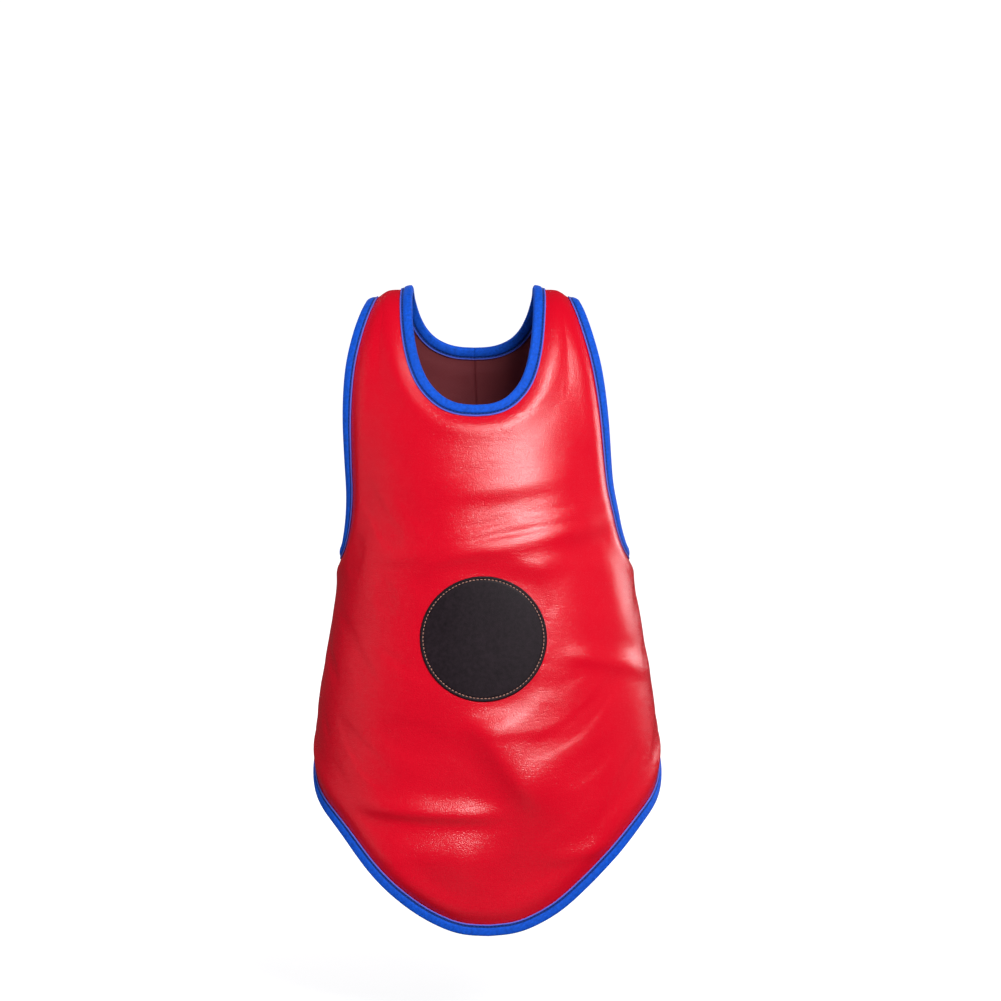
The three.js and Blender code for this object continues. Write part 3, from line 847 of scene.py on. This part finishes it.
def stitch_row(points, normals, sizes):
    """The points and faces of a row of stitches along a line, each a short bent thread."""
    along = run_of(points)
    count = max(int(along[-1] / sizes.stitch_pitch), 1)
    middles = (np.arange(count) + 0.5) * along[-1] / count
    rings, sides = STITCH_RINGS, STITCH_SIDES
    reach = np.linspace(-1, 1, rings)
    at = middles[:, None] + reach * sizes.stitch_length / 2
    centres, up = follow(points, along, at), unit(follow(normals, along, at))
    run = unit(np.gradient(centres, axis=1))
    out = np.cross(run, up)
    rise = sizes.thread_radius * (STITCH_RISE - STITCH_SINK * reach**2)
    centres = centres + up * rise[None, :, None]
    radius = sizes.thread_radius * np.sqrt(STITCH_BLUNT - reach**4)
    turn = np.arange(sides) * 2 * math.pi / sides
    ring = out[:, :, None] * np.cos(turn)[:, None] + up[:, :, None] * np.sin(turn)[:, None]
    corners = centres[:, :, None] + ring * radius[None, :, None, None]
    first = np.arange(count)[:, None, None] * rings * sides
    k = np.arange(sides)
    here = first + np.arange(rings - 1)[None, :, None] * sides
    quads = np.stack(
        [here + k, here + (k + 1) % sides, here + sides + (k + 1) % sides, here + sides + k], axis=-1
    ).reshape(-1, 4)
    ends = np.concatenate([first[:, 0] + k[::-1], first[:, 0] + (rings - 1) * sides + k])
    return corners.reshape(-1, 3), [quads, ends]


def add_stitches(name, lines, colour_name, sizes, colours):
    """A piece with a row of stitches along each line, given by its points and the directions out of it."""
    points, faces = join_parts([stitch_row(points, normals, sizes) for points, normals in lines])
    thread = finish_of(colour_name, thread_finish, colour_name, getattr(colours, colour_name))
    return new_piece(name, points, faces, thread)


def looped(values):
    """A closed line's values with the first again at the end."""
    return np.concatenate([values, values[:1]])


def join_parts(parts):
    """One set of points and faces from several."""
    points, faces, start = [], [], 0
    for part_points, part_faces in parts:
        points.append(part_points)
        faces += [f + start for f in part_faces]
        start += len(part_points)
    return np.concatenate(points), faces


# Materials


class Wire:
    """A shader socket that takes part in Python expressions: each operation adds a Math node."""

    def __init__(self, finish, socket):
        self.finish = finish
        self.socket = socket

    def math(self, operation, *values):
        return self.finish.node("ShaderNodeMath", {"operation": operation}, dict(enumerate(values)))

    def __add__(self, other):
        return self.math("ADD", self, other)

    def __radd__(self, other):
        return self.math("ADD", other, self)

    def __sub__(self, other):
        return self.math("SUBTRACT", self, other)

    def __rsub__(self, other):
        return self.math("SUBTRACT", other, self)

    def __mul__(self, other):
        return self.math("MULTIPLY", self, other)

    def __rmul__(self, other):
        return self.math("MULTIPLY", other, self)

    def __truediv__(self, other):
        return self.math("DIVIDE", self, other)

    def __pow__(self, other):
        return self.math("POWER", self, other)

    def __abs__(self):
        return self.math("ABSOLUTE", self)

    def sin(self):
        return self.math("SINE", self)

    def clamped(self):
        return self.finish.node("ShaderNodeClamp", {}, {"Value": self})

    def step(self, start, end):
        """0 up to start and 1 from end, with a smooth rise between them."""
        settings = {"interpolation_type": "SMOOTHSTEP"}
        values = {"Value": self, "From Min": start, "From Max": end}
        return self.finish.node("ShaderNodeMapRange", settings, values)


class Finish:
    """A material whose nodes are added by method calls and expressions."""

    def __init__(self, name):
        self.material = bpy.data.materials.new(name)
        self.material.use_nodes = True
        self.tree = self.material.node_tree
        self.tree.nodes.clear()

    def node(self, kind, settings, values, output=0):
        """Adds a node, sets its settings first and then its sockets, and returns one of its outputs."""
        node = self.tree.nodes.new(kind)
        for name, value in settings.items():
            setattr(node, name, value)
        for name, value in values.items():
            socket = node.inputs[name]
            if isinstance(value, Wire):
                self.tree.links.new(value.socket, socket)
            else:
                socket.default_value = value
        return Wire(self, node.outputs[output]) if node.outputs else None

    def place(self):
        """The place on the piece, in metres."""
        return self.node("ShaderNodeTexCoord", {}, {}, "Object")

    def part(self, vector, axis):
        return self.node("ShaderNodeSeparateXYZ", {}, {0: vector}, axis)

    def scaled(self, vector, by):
        return self.node("ShaderNodeVectorMath", {"operation": "MULTIPLY"}, {0: vector, 1: by})

    def noise(self, vector, scale, detail=2.0, roughness=0.5):
        values = {"Vector": vector, "Scale": scale, "Detail": detail, "Roughness": roughness}
        return self.node("ShaderNodeTexNoise", {}, values)

    def cells(self, vector, scale, feature="DISTANCE_TO_EDGE"):
        values = {"Vector": vector, "Scale": scale}
        return self.node("ShaderNodeTexVoronoi", {"feature": feature}, values, "Distance")

    def mix(self, share, first, second):
        """A colour between two colours."""
        values = {"Factor": share, 6: first, 7: second}
        return self.node("ShaderNodeMix", {"data_type": "RGBA"}, values, 2)

    def bump(self, height, distance, strength=1.0, under=None):
        values = {"Height": height, "Distance": distance, "Strength": strength}
        if under:
            values["Normal"] = under
        return self.node("ShaderNodeBump", {}, values)

    def surface(self, values):
        """The finished surface, from the shader's sockets."""
        shader = self.node("ShaderNodeBsdfPrincipled", {}, values)
        self.node("ShaderNodeOutputMaterial", {}, {"Surface": shader})
        return self.material


def solid(colour, factor=1.0):
    return (*(c * factor for c in colour), 1.0)


# The tape's map, the pitch of its slanting ribs and of its cross threads, and the width of its groove
TAPE_MAP = "tape"
TAPE_RIB = 0.0014
TAPE_THREAD = 0.00055
TAPE_GROOVE_WIDTH = 0.0009
# Marks to a metre in each finish
RED_MARKS = {"cloud": 22, "grain": 1250, "fine": 3600, "weave": 5200}
RED_STREAKS = (60, 60, 330)
BLACK_MARKS = {"cloud": 30, "mottle": 330, "grain": 800, "fine": 2400}
TAPE_MARKS = {"mottle": 420, "fuzz": 1500}
THREAD_MARKS = 2200
FLOOR_MARKS = 3
# Depths of the finishes' bumps
RED_STREAK_DEPTH = 0.00022
RED_GRAIN_DEPTH = 0.00014
BLACK_DEPTH = 0.00008
TAPE_DEPTH = 0.00018
THREAD_DEPTH = 0.0001


def red_cover(colours):
    """Soft synthetic leather with a fine grain, and a matt woven inner face."""
    f = Finish("red_cover")
    place = f.place()
    inside = f.node("ShaderNodeAttribute", {"attribute_name": "inside"}, {}, "Fac")
    cloud = f.noise(place, RED_MARKS["cloud"], 3)
    pore = f.cells(place, RED_MARKS["grain"])
    pebble = f.cells(place, RED_MARKS["grain"], "F1")
    fine = f.noise(place, RED_MARKS["fine"], 2)
    streak = f.noise(f.scaled(place, RED_STREAKS), 1, 3, 0.55)
    weave = (f.part(place, 0) * RED_MARKS["weave"]).sin() * (f.part(place, 2) * RED_MARKS["weave"]).sin()
    grain = pore.step(0.0, 0.16)
    tone = (0.55 + cloud * 0.5 + (grain - 1) * 0.12).clamped()
    cover = f.mix(tone, solid(colours.red, 0.82), solid(colours.red, 1.04))
    lining = f.mix(weave * 0.5 + 0.5, solid(colours.lining, 0.75), solid(colours.lining))
    height = (fine * 0.3 - pebble * pebble) * (1 - inside) + weave * inside
    soft = f.bump(streak, RED_STREAK_DEPTH, 0.6)
    rough = 0.2 + cloud * 0.06 + (1 - grain) * 0.06
    return f.surface(
        {
            "Base Color": f.mix(inside, cover, lining),
            "Roughness": rough + inside * 0.42,
            "Normal": f.bump(height, RED_GRAIN_DEPTH, 0.8, soft),
            "Specular IOR Level": 0.5,
        }
    )


def black_cover(colours):
    """Matt synthetic leather with a fine grain."""
    f = Finish("black_cover")
    place = f.place()
    cloud = f.noise(place, BLACK_MARKS["cloud"], 3)
    grain = f.cells(place, BLACK_MARKS["grain"]).step(0.0, 0.2)
    fine = f.noise(place, BLACK_MARKS["fine"], 2)
    mottle = f.noise(place, BLACK_MARKS["mottle"], 3)
    tone = (cloud * 0.5 + grain * 0.2 + (mottle - 0.5) * 1.3 + 0.15).clamped()
    return f.surface(
        {
            "Base Color": f.mix(tone, solid(colours.black, 0.5), solid(colours.black, 1.6)),
            "Roughness": 0.42 + cloud * 0.1 + mottle * 0.14,
            "Normal": f.bump(grain * 0.6 + fine * 0.4 + mottle, BLACK_DEPTH, 0.5),
            "Specular IOR Level": 0.16,
        }
    )


def blue_weave(colours, sewn):
    """Woven tape: slanting ribs that meet along the middle, crossed by single threads, with painted shade as
    a dark line in the stitch groove at the distance sewn from the fold, and a painted highlight as a pale
    band along the free edge."""
    f = Finish("blue_weave")
    run = f.node("ShaderNodeUVMap", {"uv_map": TAPE_MAP}, {})
    along, across = f.part(run, 0), f.part(run, 1)
    from_fold = abs(across)
    rib = ((along + from_fold) * (2 * math.pi / TAPE_RIB)).sin() * 0.5 + 0.5
    cross = (across * (2 * math.pi / TAPE_THREAD)).sin() * 0.5 + 0.5
    place = f.place()
    fuzz = f.noise(place, TAPE_MARKS["fuzz"], 2)
    mottle = f.noise(place, TAPE_MARKS["mottle"], 3)
    tone = (rib * 0.4 + cross * 0.1 + (mottle - 0.5) * 1.4 + 0.3).clamped()
    # Painted shade: a dark line in the stitch groove, standing in for the shade that falls in it.
    seam = 1 - abs(from_fold - sewn).step(TAPE_GROOVE_WIDTH * 0.5, TAPE_GROOVE_WIDTH * 1.5)
    weave = f.mix(tone, solid(colours.blue, 0.55), solid(colours.blue, 1.25))
    # Painted highlight: a pale band along the tape's free edge beside the padding, standing in for light
    # caught by that edge.
    edge_highlight = from_fold.step(sewn + TAPE_GROOVE_WIDTH, sewn + TAPE_GROOVE_WIDTH * 1.7)
    weave = f.mix(edge_highlight * 0.6, weave, solid(colours.edge_highlight))
    return f.surface(
        {
            # The base colour takes the groove's painted shade here.
            "Base Color": f.mix(seam * 0.85, weave, solid(colours.blue, 0.16)),
            "Roughness": 0.62 + fuzz * 0.18,
            "Normal": f.bump(rib * 0.7 + cross * 0.3 + fuzz * 0.3, TAPE_DEPTH, 0.7),
            "Sheen Weight": 0.04,
            "Sheen Roughness": 0.4,
            "Specular IOR Level": 0.2,
        }
    )


def thread_finish(name, colour):
    """Twisted sewing thread."""
    f = Finish(name)
    twist = f.noise(f.place(), THREAD_MARKS, 2)
    return f.surface(
        {
            "Base Color": f.mix(twist, solid(colour, 0.6), solid(colour, 1.25)),
            "Roughness": 0.55 + twist * 0.2,
            "Normal": f.bump(twist, THREAD_DEPTH, 0.6),
            "Sheen Weight": 0.1,
        }
    )


def finish_of(name, make, *values):
    """The material of that name, made when it is first asked for."""
    return bpy.data.materials.get(name) or make(*values)


# Bindings

# The spacing of the tape's rings along it, and its points from the free edge to the groove that its stitches
# lie in, over the groove, from there to the fold and round the fold
TAPE_PITCH = 0.0022
TAPE_POINTS = (5, 7, 8, 11)
# How far the tape's face swells, how deep its groove is, how far its edge is rounded, and how far its inner
# side stays back from that edge
TAPE_CROWN = 0.0006
TAPE_GROOVE = 0.0007
TAPE_EDGE = 0.0004
TAPE_BEVEL = 0.0001


def join_frames(runs, closed):
    """One run of edge frames from runs that meet at seams, where the two frames that meet become one."""
    joined = {}
    for name in ("point", "normal", "out"):
        values = runs[0][name]
        for run in runs[1:]:
            meeting = (values[-1:] + run[name][:1]) / 2
            values = np.concatenate([values[:-1], meeting, run[name][1:]])
        if closed:
            values[0] = values[-1] = (values[0] + values[-1]) / 2
        joined[name] = values
    along = run_of(joined["point"])
    at = np.linspace(0, along[-1], int(along[-1] / TAPE_PITCH))
    even = {name: follow(values, along, at) for name, values in joined.items()}
    even["normal"], even["out"] = unit(even["normal"]), unit(even["out"])
    even["along"] = at
    return even


def tape_section(sizes):
    """The section of the folded tape as distances out from the lip's edge and up from its middle, and the
    distance along the tape's face, measured from the fold."""
    inside = sizes.lip_thickness / 2 + sizes.tape_gap
    outside = inside + sizes.tape_thickness
    fold = sizes.tape_gap + sizes.tape_thickness
    groove = sizes.tape_stitch_inset - sizes.tape_leg
    before, over, after, bend = TAPE_POINTS
    leg = np.concatenate(
        [
            np.linspace(-sizes.tape_leg, groove - 2 * TAPE_GROOVE_WIDTH, before),
            groove + TAPE_GROOVE_WIDTH * np.linspace(-1.4, 1.4, over),
            np.linspace(groove + 2 * TAPE_GROOVE_WIDTH, 0, after),
        ]
    )
    crown = TAPE_CROWN * np.sin(math.pi * np.clip((leg - groove) / (fold - groove), 0, 1))
    edge = TAPE_EDGE * bump_at(leg + sizes.tape_leg, TAPE_EDGE)
    up = outside + crown - edge - TAPE_GROOVE * bump_at(leg - groove, TAPE_GROOVE_WIDTH)
    turn = np.linspace(0, math.pi, bend)[1:-1]
    bend_out = fold * np.sin(turn)
    bend_up = up[-1] * np.cos(turn)
    inner_out = np.array([TAPE_BEVEL - sizes.tape_leg, -sizes.tape_leg / 2, 0, 0])
    inner_up = np.full(len(inner_out), inside)
    out = np.concatenate([leg, bend_out, leg[::-1], inner_out, inner_out[::-1]])
    height = np.concatenate([up, bend_up, -up[::-1], -inner_up, inner_up])
    run = run_of(np.stack([out, height], axis=-1))
    return out, height, run - run[len(leg) + len(turn) // 2]


def add_binding(name, frames, closed, sizes, colours):
    """A tape folded round a panel's edge, with a row of stitches on each side."""
    out, up, run = tape_section(sizes)
    count = len(out)
    groove = sizes.tape_stitch_inset - sizes.tape_leg
    sewn = float(-run[np.argmin(np.abs(out[: count // 3] - groove))])
    point, normal, outward = (frames[key][:, None] for key in ("point", "normal", "out"))
    rings = point + outward * out[None, :, None] + normal * up[None, :, None]
    if closed:
        rings = rings[:-1]
    total = len(rings)
    i, k = np.meshgrid(np.arange(total if closed else total - 1), np.arange(count), indexing="ij")
    corners = [(i + 1, k), (i + 1, k + 1), (i, k + 1), (i, k)]
    faces = [np.stack([a % total * count + b % count for a, b in corners], axis=-1).reshape(-1, 4)]
    around = np.append(run, run[-1] + sizes.tape_thickness)
    pitch = frames["along"][1]
    places = np.stack([np.stack([a * pitch, around[b]], axis=-1) for a, b in corners], axis=-2).reshape(-1, 2)
    if not closed:
        first = np.arange(count)
        faces += [first[None], (first + (total - 1) * count)[None, ::-1]]
        places = np.concatenate([places, np.zeros((2 * count, 2))])
    material = finish_of("blue_weave", blue_weave, colours, sewn)
    tape = new_piece(name + "_tape", rings.reshape(-1, 3), faces, material, name)
    add_map(tape, TAPE_MAP, places)
    height = sizes.lip_thickness / 2 + sizes.tape_gap + sizes.tape_thickness - TAPE_GROOVE
    sunk = frames["point"] + frames["out"] * groove
    lines = [(sunk + frames["normal"] * sign * height, frames["normal"] * sign) for sign in (1, -1)]
    stitches = add_stitches(name + "_stitches", lines, "blue_thread", sizes, colours)


# Panels, patch and closing strip


def add_panel(name, node, shape, lay, sizes, colours):
    """A padded panel: a leather cover over foam, with a woven inner face."""
    panel = lay(shape, sizes)
    outer, inner, _ = cover_offsets(panel, sizes)
    points, faces = panel.wall.closed(outer, inner)
    points[: len(outer)] += settled_moves(shape, lay, sizes)
    material = finish_of("red_cover", red_cover, colours)
    piece = new_piece(name, points, faces, material, node)
    add_values(piece, "inside", np.repeat([0.0, 1.0], len(outer)))


# The patch's spokes, its rings within its stitches and along them, the radius of the first ring, how far the
# first rings and those along the stitches lie from the stitches, and how far the last ones lie from its edge
PATCH_SPOKES = 160
PATCH_RINGS = (24, 12)
PATCH_HUB = 0.0015
PATCH_WITHIN = 0.003
PATCH_BESIDE = (-0.002, 0.0014)
PATCH_RIM = (0.0007, 0.0003, 0.0)
# How far its middle stands up, the depth and width of its groove and of its rounded edge, and how far the
# stitches sink in
PATCH_DOME = 0.0004
PATCH_GROOVE = (0.0004, 0.0008)
PATCH_EDGE = (0.0007, 0.0004)
PATCH_STITCH_SINK = 0.0003


def add_patch(sizes, colours):
    """The round patch on the front, with its ring of stitches."""
    radius = sizes.patch_radius
    ring = radius - sizes.stitch_inset
    within = np.linspace(PATCH_HUB, ring - PATCH_WITHIN, PATCH_RINGS[0])
    beside = ring + np.linspace(*PATCH_BESIDE, PATCH_RINGS[1])
    radii = np.concatenate([within, beside, radius - np.array(PATCH_RIM)])
    spokes = np.arange(PATCH_SPOKES) * 2 * math.pi / PATCH_SPOKES

    def ground(r, turn):
        x = sizes.patch_x + r * np.cos(turn)
        place = place_at_height(sizes.patch_height + r * np.sin(turn))
        angle = angle_at_reach(place, x - curve(SECTIONS["lean"], place))
        return surface_at(FRONT, place, angle, sizes)

    wall = Wall()
    grid = wall.add(*ground(radii[:, None], spokes))
    wall.fill(np.concatenate([grid, grid[:, :1]], axis=1), True)
    centre = wall.add(*ground(np.zeros(1), np.zeros(1)))
    hub = grid[0]
    wall.faces.append(np.stack([np.full(len(hub), centre[0]), hub, np.roll(hub, -1)], axis=1))
    away = np.append(np.repeat(radii, PATCH_SPOKES), 0)
    floor = sizes.pad_thickness / 2 + sizes.patch_gap
    dome = PATCH_DOME * (1 - (away / radius) ** 4)
    groove = PATCH_GROOVE[0] * bump_at(away - ring, PATCH_GROOVE[1])
    edge = PATCH_EDGE[0] * bump_at(away - radius, PATCH_EDGE[1])
    top = floor + sizes.patch_thickness + dome - groove - edge
    points, faces = wall.closed(top, np.full(len(away), -floor))
    material = finish_of("black_cover", black_cover, colours)
    patch = new_piece("round_patch", points, faces, material, "target_patch")
    line, normals = ground(np.full(PATCH_SPOKES, ring), spokes)
    line = line + normals * (floor + sizes.patch_thickness - PATCH_STITCH_SINK)
    lines = [(looped(line), looped(normals))]
    stitches = add_stitches("patch_stitches", lines, "tan_thread", sizes, colours)


# The closing strip's rows and columns, the points along and across its line of stitches, how far its middle
# stands up within a distance from its edge, and the depth and width of its groove and of its rounded edge
CLOSURE_GRID = (160, 41)
CLOSURE_LINE = (120, 20)
CLOSURE_RISE = (0.0004, 0.008)
CLOSURE_GROOVE = (0.0004, 0.0007)
CLOSURE_EDGE = (0.0008, 0.0006)


def add_closure(sizes, colours):
    """The plain strip that closes the back, with a line of stitches round it."""
    low = place_at_height(BACK_HEM["height"][0] + sizes.closure_end_gap)
    high = place_at_height(BACK_NECK["height"][0] - sizes.closure_end_gap)
    half = sizes.closure_width / 2
    inset = sizes.stitch_inset
    rows, columns = CLOSURE_GRID

    def ground(reach, share):
        place = low + (high - low) * share
        return surface_at(BACK, place, angle_at_reach(place, reach), sizes)

    across, share = np.meshgrid(np.linspace(-1, 1, columns) * half, np.linspace(0, 1, rows))
    points, normals = ground(across, share)
    wall = Wall()
    wall.fill(wall.add(points, normals))
    long = float(run_of(points[:, columns // 2])[-1])
    from_edge = np.minimum(half - np.abs(across), long * np.minimum(share, 1 - share)).ravel()
    floor = sizes.pad_thickness / 2 + sizes.closure_gap
    rise = CLOSURE_RISE[0] * smoothstep(from_edge, 0, CLOSURE_RISE[1])
    groove = CLOSURE_GROOVE[0] * bump_at(from_edge - inset, CLOSURE_GROOVE[1])
    edge = CLOSURE_EDGE[0] * bump_at(from_edge, CLOSURE_EDGE[1])
    points, faces = wall.closed(
        floor + sizes.closure_thickness + rise - groove - edge, np.full(len(from_edge), -floor)
    )
    material = finish_of("red_cover", red_cover, colours)
    strip = new_piece("closing_strip", points, faces, material, "back_closure")
    add_values(strip, "inside", np.zeros(len(points)))
    up, over = CLOSURE_LINE
    end, side = inset / long, half - inset
    shares = np.concatenate([np.linspace(end, 1 - end, up), np.full(over, 1 - end)])
    reaches = np.concatenate([np.full(up, side), np.linspace(side, -side, over)])
    line, normals = ground(np.concatenate([reaches, -reaches]), np.concatenate([shares, 1 - shares]))
    line = line + normals * (floor + sizes.closure_thickness)
    lines = [(looped(line), looped(normals))]
    stitches = add_stitches("closing_strip_stitches", lines, "red_thread", sizes, colours)


# Stage

# A light's place from the middle of the view, its width and height, and whether it shows in gloss. Its power
# is the stage's setting of the same name.
LIGHTS = {
    "key": ((0.95, -2.5, 1.35), (1.2, 1.0), True),
    "left": ((-2.2, -0.5, 0.2), (1.6, 2.2), False),
    "right": ((2.2, 0.1, 0.2), (1.6, 2.2), False),
    "back": ((-0.7, 2.4, 1.4), (2.0, 1.3), False),
    "rear": ((1.75, 1.25, 0.5), (0.9, 0.7), True),
    "low": ((0.1, -1.4, -1.5), (1.6, 1.6), False),
}
# The flat floor's radius, its first ring as a share of that, the bend's radius, the dome's height over the
# bend, and counts of faces
FLOOR_REACH = 2.2
FLOOR_START = 0.02
FLOOR_BEND = 1.4
DOME_RISE = 3.2
FLOOR_SPOKES = 72
FLOOR_RINGS = 12
BEND_RINGS = 16
# Distances from the middle between which the floor's glow grows
FLOOR_GLOW = (0.3, 1.5)
SENSOR_WIDTH = 36


def link(name, data):
    """A new object in the scene."""
    item = bpy.data.objects.new(name, data)
    bpy.context.scene.collection.objects.link(item)
    return item


def pale_floor(colours):
    """A matt pale floor with a glow of its own, so that it stays pale where no light reaches."""
    f = Finish("pale_floor")
    place = f.place()
    cloud = f.noise(place, FLOOR_MARKS, 2)
    x, y = f.part(place, 0), f.part(place, 1)
    away = (x * x + y * y) ** 0.5
    return f.surface(
        {
            "Base Color": f.mix(cloud, solid(colours.floor, 0.38), solid(colours.floor, 0.4)),
            "Roughness": 0.8 + cloud * 0.1,
            "Emission Color": f.mix(away.step(*FLOOR_GLOW), solid(colours.floor, 0.8), solid(colours.floor)),
            "Emission Strength": 1.08,
        }
    )


def add_floor(height, colours):
    """A round floor that curves up into a pale dome. It takes shadows, but it neither lights the vest nor
    shows in its gloss."""
    turn = np.linspace(0, math.pi / 2, BEND_RINGS + 1)
    bend, dome = turn[1:], turn[1:-1]
    flat = FLOOR_REACH * np.linspace(FLOOR_START, 1, FLOOR_RINGS)
    wide = FLOOR_REACH + FLOOR_BEND
    radius = np.concatenate([flat, FLOOR_REACH + FLOOR_BEND * np.sin(bend), wide * np.cos(dome)])[:, None]
    rises = [0 * flat, FLOOR_BEND * (1 - np.cos(bend)), FLOOR_BEND + DOME_RISE * np.sin(dome)]
    level = height + np.concatenate(rises)[:, None]
    around = np.arange(FLOOR_SPOKES) * 2 * math.pi / FLOOR_SPOKES
    points = np.stack([radius * np.cos(around), radius * np.sin(around), level + 0 * around], axis=-1)
    rows = np.arange(points[..., 0].size).reshape(points.shape[:2])
    after = np.roll(rows, -1, axis=1)
    faces = np.stack([rows[:-1], rows[1:], after[1:], after[:-1]], axis=-1).reshape(-1, 4).tolist()
    faces += [rows[0].tolist(), rows[-1][::-1].tolist()]
    mesh = bpy.data.meshes.new("floor")
    mesh.from_pydata(points.reshape(-1, 3).tolist(), [], faces)
    mesh.polygons.foreach_set("use_smooth", np.ones(len(faces), bool))
    mesh.materials.append(pale_floor(colours))
    floor = link("floor", mesh)
    floor.visible_diffuse = False
    floor.visible_glossy = False
    floor.visible_transmission = False
    floor.visible_shadow = False


def add_surround(strength):
    """An even pale light from all round."""
    world = bpy.data.worlds.new("pale_surround")
    world.use_nodes = True
    background = world.node_tree.nodes["Background"]
    background.inputs["Color"].default_value = (1, 1, 1, 1)
    background.inputs["Strength"].default_value = strength
    bpy.context.scene.world = world


def add_lights(stage):
    """Soft rectangular lights that face the middle of the view."""
    middle = Vector((stage.camera_x, 0, stage.camera_height))
    for name, (place, size, glossy) in LIGHTS.items():
        lamp = bpy.data.lights.new(name + "_light", "AREA")
        lamp.shape = "RECTANGLE"
        lamp.size, lamp.size_y = size
        lamp.energy = getattr(stage, name + "_power")
        light = link(name + "_light", lamp)
        light.visible_glossy = glossy
        light.location = middle + Vector(place)
        light.rotation_euler = (-Vector(place)).to_track_quat("-Z", "Y").to_euler()


def add_camera(stage):
    """A level camera in front of the vest."""
    lens = bpy.data.cameras.new("camera")
    lens.lens = stage.camera_lens
    lens.sensor_width = SENSOR_WIDTH
    camera = link("camera", lens)
    camera.location = (stage.camera_x, -stage.camera_distance, stage.camera_height)
    camera.rotation_euler = (math.pi / 2, 0, 0)
    bpy.context.scene.camera = camera


# Operators


class VEST_OT_stage(bpy.types.Operator):
    """Sets up the floor, the lights and the camera"""

    bl_idname = "vest.stage"
    bl_label = "Stage"

    def execute(self, context):
        scene = context.scene
        stage = scene.vest_stage
        scene.view_settings.view_transform = "Standard"
        add_floor(CAD_BOX[0].z - stage.floor_drop, scene.vest_colours)
        add_surround(stage.sky_strength)
        add_lights(stage)
        add_camera(stage)
        return {"FINISHED"}


class VEST_OT_front_panel(bpy.types.Operator):
    """Builds the padded front"""

    bl_idname = "vest.front_panel"
    bl_label = "Front Panel"

    def execute(self, context):
        scene = context.scene
        add_panel("front_padding", "front_panel", FRONT, lay_front, scene.vest_sizes, scene.vest_colours)
        return {"FINISHED"}


class VEST_OT_back_panels(bpy.types.Operator):
    """Builds the two padded halves of the back"""

    bl_idname = "vest.back_panels"
    bl_label = "Back Panels"

    def execute(self, context):
        scene = context.scene
        for side, word in ((1, "left"), (-1, "right")):
            lay = partial(lay_back, side=side)
            name, node = "back_padding_" + word, "back_panel_" + word
            add_panel(name, node, BACK, lay, scene.vest_sizes, scene.vest_colours)
        return {"FINISHED"}


class VEST_OT_bindings(bpy.types.Operator):
    """Folds the tape round the hem, the neckline and the armholes"""

    bl_idname = "vest.bindings"
    bl_label = "Bindings"

    def execute(self, context):
        sizes = context.scene.vest_sizes
        front = lay_front(FRONT, sizes).lips
        left = lay_back(BACK, sizes, 1).lips
        right = lay_back(BACK, sizes, -1).lips
        runs = {
            "hem_binding": ([right["hem"], front["hem"], left["hem"]], False),
            "neck_binding": ([left["neck"], front["neck"], right["neck"]], False),
            "armhole_binding_left": ([front["armhole_left"], left["armhole"]], True),
            "armhole_binding_right": ([front["armhole_right"], right["armhole"]], True),
        }
        for name, (parts, closed) in runs.items():
            add_binding(name, join_frames(parts, closed), closed, sizes, context.scene.vest_colours)
        return {"FINISHED"}


class VEST_OT_target_patch(bpy.types.Operator):
    """Builds the round patch on the front with its ring of stitches"""

    bl_idname = "vest.target_patch"
    bl_label = "Target Patch"

    def execute(self, context):
        add_patch(context.scene.vest_sizes, context.scene.vest_colours)
        return {"FINISHED"}


class VEST_OT_back_closure(bpy.types.Operator):
    """Builds the plain strip that closes the back"""

    bl_idname = "vest.back_closure"
    bl_label = "Back Closure"

    def execute(self, context):
        add_closure(context.scene.vest_sizes, context.scene.vest_colours)
        return {"FINISHED"}


SETTINGS = {"vest_sizes": VestSizes, "vest_colours": VestColours, "vest_stage": VestStage}
OPERATORS = (
    VEST_OT_stage,
    VEST_OT_front_panel,
    VEST_OT_back_panels,
    VEST_OT_bindings,
    VEST_OT_target_patch,
    VEST_OT_back_closure,
)


class VEST_PT_sidebar(bpy.types.Panel):
    """Lists the vest's settings and the steps that build it"""

    bl_label = "Fencing Vest"
    bl_space_type = "VIEW_3D"
    bl_region_type = "UI"
    bl_category = "Vest"

    def draw(self, context):
        for operator in OPERATORS:
            self.layout.operator(operator.bl_idname)
        for name, group in SETTINGS.items():
            box = self.layout.box()
            settings = getattr(context.scene, name)
            for setting in group.__annotations__:
                box.prop(settings, setting)


CLASSES = (*SETTINGS.values(), *OPERATORS, VEST_PT_sidebar)


def register():
    for item in CLASSES:
        bpy.utils.register_class(item)
    for name, group in SETTINGS.items():
        setattr(bpy.types.Scene, name, PointerProperty(type=group))


def unregister():
    for name in SETTINGS:
        delattr(bpy.types.Scene, name)
    for item in reversed(CLASSES):
        bpy.utils.unregister_class(item)


def main():
    register()
    bpy.ops.vest.stage()
    bpy.ops.vest.front_panel()
    bpy.ops.vest.back_panels()
    bpy.ops.vest.bindings()
    bpy.ops.vest.target_patch()
    bpy.ops.vest.back_closure()


if __name__ == "__main__":
    main()
